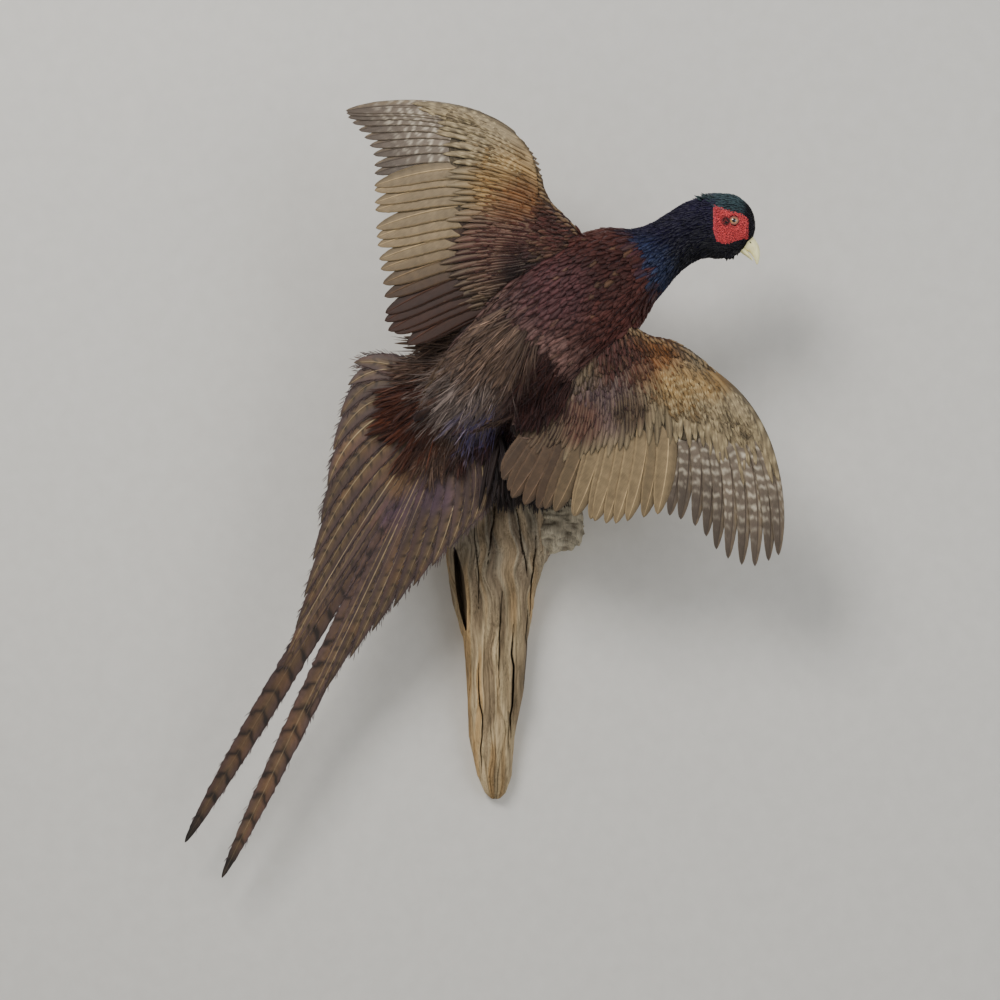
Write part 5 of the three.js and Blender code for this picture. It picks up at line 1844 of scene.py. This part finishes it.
# Stations of the knob from left to right: x, y, z, half height and half depth.
KNOB = ((14, -34, 80, 30, 26), (36, -36, 80, 33, 27), (52, -36, 80, 32, 26),
        (64, -36, 79, 30, 23), (71, -36, 78, 24, 17), (74, -36, 78, 12, 7))
TRUNK_RIGHT = 44  # how far right the wood goes above the knob's underside


def wood_sections(heights):
    """Left, right and depth of the wood at each height."""
    return [np.interp(heights, WOOD[::-1, 0], WOOD[::-1, column]) for column in (1, 2, 3)]


def wood_knob():
    """The stump of a branch to the right of the wood's top: a mesh and its colours."""
    rings = round_rings(KNOB, np.linspace(0, 1, 90), 120)
    x, y, z = np.moveaxis(rings, -1, 0)
    grain = value_noise(x / 12 + 20, z / 2.6 + y / 5 + 50, 28)
    rugged = value_noise(x / 9 + 20, z / 8 + y / 9 + 50, 29)
    sink = 2.6 * (1 - np.abs(2 * grain - 1)) ** 3 + 5 * (1 - rugged) ** 2
    middle = rings.mean(axis=1, keepdims=True)
    rings = rings + unit(middle - rings) * sink[..., None]
    rings[..., 0] -= 5 * value_noise(z / 5 + 30, y / 5 + 40, 30) * smooth(56, 74, x)
    rings[..., 1] = np.minimum(rings[..., 1], 0)
    vertices, quads, caps = loft(rings)
    colours = point_colours(len(vertices), screen_colour("#b3aa95"))
    # Painted shade: darker where the knob's surface sinks in.
    colours[:sink.size, :3] = mix(screen_colour("#b3aa95"), screen_colour("#2b2017"),
                                  np.clip(sink.ravel() * 0.14, 0, 0.9))
    return vertices, quads, caps, colours


# Where the back's columns stand, as a share of its width, and the room around the hanger.
BACK_COLUMNS = np.array([0.15, 0.16, 0.84, 0.85])[:, None]
HANGER_ROOM = 3


def flat_back(rings):
    """Columns that close the rings along the wall, sunk where the hanger sits."""
    vertices = node_mesh("hanger")[0]
    left, floor, bottom = vertices.min(axis=0) - (HANGER_ROOM, 0.05, HANGER_ROOM)
    right, _, top = vertices.max(axis=0) + HANGER_ROOM
    back = rings[:, -1:] * (1 - BACK_COLUMNS) + rings[:, :1] * BACK_COLUMNS
    height = back[:, 0, 2]
    beside = (height > bottom - HANGER_ROOM) & (height < top + HANGER_ROOM)
    back[beside, :, 0] = (right + 0.2, right, left, left - 0.2)
    sunk = (height > bottom) & (height < top)
    back[sunk, 1:3, 1] = floor
    return back


def driftwood():
    """The weathered wood, with grain, flutes and cracks in its shape."""
    around, levels = 200, 260
    heights = np.linspace(WOOD[0, 0], WOOD[-1, 0], levels)[:, None]
    angle = np.linspace(0, math.pi, around)[None]
    uneven = 12 * (value_noise(angle * 4 + 3, heights / 40 + 9, 20) - 0.5)
    left, right, deep = wood_sections(heights + uneven * smooth(-90, 40, heights))
    right = np.minimum(right, TRUNK_RIGHT)
    flute = 0.06 * np.sin(5 * angle + heights / 23) + 0.035 * np.sin(9 * angle - heights / 14)
    bend = np.sign(np.cos(angle)) * np.abs(np.cos(angle)) ** 0.85
    reach = np.sin(angle).clip(0) ** 0.8 * (1 + flute * np.sin(angle))
    middle, half = (left + right) / 2, (right - left) / 2
    x = middle - half * bend
    drift = (3 + 5 * smooth(-10, 60, heights)) * value_noise(heights / 26 + 7, angle * 2 + 3, 21)
    grain = value_noise(x / 2.6 + drift + 90, heights / 46 + 50, 22)
    fine = value_noise(x / 0.95 + drift * 2 + 200, heights / 22 + 50, 23)
    rugged = value_noise(x / 9 + 30, heights / 60 + 20, 24)
    groove = 2.4 * (1 - np.abs(2 * grain - 1)) ** 3 + 0.9 * fine + 3.4 * (1 - rugged) ** 2
    crack = np.zeros_like(x)
    for start, top, bottom, lean, opening, depth in WOOD_CRACKS:
        share = np.clip((top - heights) / (top - bottom), 0, 1)
        inside = (heights < top) & (heights > bottom)
        wander = value_noise(heights / 17 + 5, share + 9 + start, 25) - 0.5
        line = start + lean * share + 5 * wander * np.sin(math.pi * share)
        gap = opening / 2 * np.sin(math.pi * share) ** 0.7
        hollow = np.clip(1 - np.abs(x - line) / np.maximum(gap, 0.1), 0, 1) * inside
        crack = np.maximum(crack, depth * hollow ** 0.8)
    edge = smooth(0, 0.16, np.sin(angle))
    sink = (groove + crack) * edge
    y = np.minimum(-deep * reach + sink, 0)
    x = x + (middle - x) * (groove * 0.012) * (1 - edge * 0.6)
    end = np.minimum(heights - WOOD[-1, 0], WOOD[0, 0] - heights)
    rounding = 1 - 0.03 * (1 - smooth(0, 5, end))
    worn = 3 * value_noise(x / 5 + 60, y / 6 + 60, 26)
    top = heights - worn * smooth(62, 106, heights)
    rings = np.stack([middle + (x - middle) * rounding, y * rounding, top], -1)
    high = smooth(-60, 90, rings[..., 2].ravel())
    shade = mix(screen_colour("#cbb58e"), screen_colour("#989080"), high)
    band = value_noise(x / 6 + drift / 3 + 120, heights / 90 + 40, 27).ravel()
    shade = tint(shade, "#bd935a", 0.6 * smooth(0.45, 0.7, band) * (1 - 0.6 * high))
    shade = tint(shade, "#6b5542", 0.55 * (1 - smooth(0.25, 0.45, band)))
    # Painted shade: darker where the grooves and cracks sink in.
    dark = np.clip((groove * 0.15 + crack * 0.3) * edge, 0, 1).ravel()
    shade = tint(shade, "#2b2017", dark * 0.85)
    back = flat_back(rings)
    columns = around + back.shape[1]
    vertices, quads, caps = loft(np.concatenate([rings, back], axis=1))
    is_back = np.arange(len(quads)) % columns >= around - 1
    colours = point_colours(len(vertices), screen_colour("#8a7c66"))
    front = np.arange(levels * columns) % columns < around
    colours[:levels * columns, :3][front] = shade
    *knob, knob_colours = wood_knob()
    is_back = np.concatenate([is_back, np.zeros(len(knob[1]), bool)])
    add_piece("driftwood_surface", join_parts([(vertices, quads, caps), knob]), wood_material(),
              "driftwood", ["driftwood"], flat_quads=is_back,
              colours=np.concatenate([colours, knob_colours]))


# ------------------------------------------------------------ stage, lights and camera

# The room, in millimetres: half the width of wall and floor, how far the wall stands behind
# the object, its bottom and top, the height of the floor and how far forward it reaches.
ROOM_HALF = 2600
WALL_BEHIND = 3
WALL_BOTTOM = -1100
WALL_TOP = 2400
FLOOR_HEIGHT = -900
FLOOR_FRONT = -2600


def stage():
    """The wall and the floor. The wall throws no shadow, so that light from behind reaches
    the side of the bird that faces it."""
    material = wall_material()
    wall = [(-ROOM_HALF, WALL_BEHIND, WALL_BOTTOM), (ROOM_HALF, WALL_BEHIND, WALL_BOTTOM),
            (ROOM_HALF, WALL_BEHIND, WALL_TOP), (-ROOM_HALF, WALL_BEHIND, WALL_TOP)]
    floor = [(-ROOM_HALF, FLOOR_FRONT, FLOOR_HEIGHT), (ROOM_HALF, FLOOR_FRONT, FLOOR_HEIGHT),
             (ROOM_HALF, WALL_BEHIND, FLOOR_HEIGHT), (-ROOM_HALF, WALL_BEHIND, FLOOR_HEIGHT)]
    for name, corners in (("wall", wall), ("floor", floor)):
        piece = bpy.data.objects.new(name, make_mesh(name, corners, [(0, 1, 2, 3)]))
        bpy.context.scene.collection.objects.link(piece)
        piece.data.materials.append(material)
        piece.visible_shadow = name != "wall"


# The lamps: name, place, size in metres, power in watts and colour.
LAMPS = (
    ("key", (-0.9, -1.9, 1.5), 1.0, 50, (1.0, 0.98, 0.95)),
    ("fill", (1.6, -1.8, 0.4), 1.6, 18, (0.96, 0.98, 1.0)),
    ("back", (0.5, 2.2, 1.0), 1.6, 34, (1.0, 1.0, 1.0)),
)
LAMPS_AIM = Vector((0.0, -0.1, 0.1))  # the middle of the bird
SKY_COLOUR = (0.95, 0.97, 1.0, 1)
SKY_STRENGTH = 0.42


def lights():
    """Three soft round lamps and a pale even sky."""
    for name, place, size, power, tint in LAMPS:
        data = bpy.data.lights.new(name, "AREA")
        data.shape = "DISK"
        data.size = size
        data.energy = power
        data.color = tint
        lamp = bpy.data.objects.new(name, data)
        lamp.location = place
        lamp.rotation_euler = (LAMPS_AIM - Vector(place)).to_track_quat("-Z", "Y").to_euler()
        bpy.context.scene.collection.objects.link(lamp)
    world = bpy.data.worlds.new("studio")
    world.use_nodes = True
    background = world.node_tree.nodes["Background"]
    background.inputs["Color"].default_value = SKY_COLOUR
    background.inputs["Strength"].default_value = SKY_STRENGTH
    bpy.context.scene.world = world


CAMERA_PLACE = (-0.01235, -2.6, 0.103)  # in metres, straight in front of the photo's middle
CAMERA_LENS = 90.93
CAMERA_SENSOR = 36


def camera():
    """The camera, level and square to the wall as in the photo."""
    data = bpy.data.cameras.new("camera")
    data.lens = CAMERA_LENS
    data.sensor_width = CAMERA_SENSOR
    view = bpy.data.objects.new("camera", data)
    view.location = CAMERA_PLACE
    view.rotation_euler = (math.pi / 2, 0, 0)
    bpy.context.scene.collection.objects.link(view)
    bpy.context.scene.camera = view


# ------------------------------------------------------------ the whole model

def skin_piece(points, quads, part, tree):
    """The bare skin, darker than the feathers over it but with their markings."""
    rng = np.random.default_rng(1)
    shade = body_colours(points, nearest(tree, points)[1], rng)[1] * SKIN_SHADE
    for wing in WINGS:
        arm = part == FLESH.index(f"wing_{wing['name']}_arm")
        shade[arm] = wing_colours(wing, points[arm], rng)[1] * SKIN_SHADE
    material = painted_material("skin", (420,) * 3, 4.0, (0.35, 1.1), (0.8, 0.001),
                                Roughness=0.85)
    add_piece("skin", (points, quads), material, "plumage_dark", FLESH,
              colours=point_colours(len(points), shade))


def dress():
    """Everything that covers the solids, piece by piece."""
    points, quads, part = make_skin()
    triangles = np.concatenate([quads[:, [0, 1, 2]], quads[:, [0, 2, 3]]])
    tree = tree_of(points, quads)
    skin_piece(points, quads, part, tree)
    body_coat(points, triangles, part, tree)
    rump_plumes(points, triangles, part, tree)
    thigh_coat(points, triangles, part, tree)
    for number, wing in enumerate(WINGS):
        wing_coat(wing, number, points, triangles, part, tree)
        flight_feathers(wing, number)
        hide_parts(f"wing_{wing['name']}_primaries", f"wing_{wing['name']}_secondaries")
    tail()
    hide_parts("tail")
    wattles(tree)
    eyes()
    bill()
    ear_tufts(tree)
    feet()
    driftwood()
    frame["nodes"]["hanger"].material_slots[0].material = metal_material()


camera()
lights()
stage()
dress()
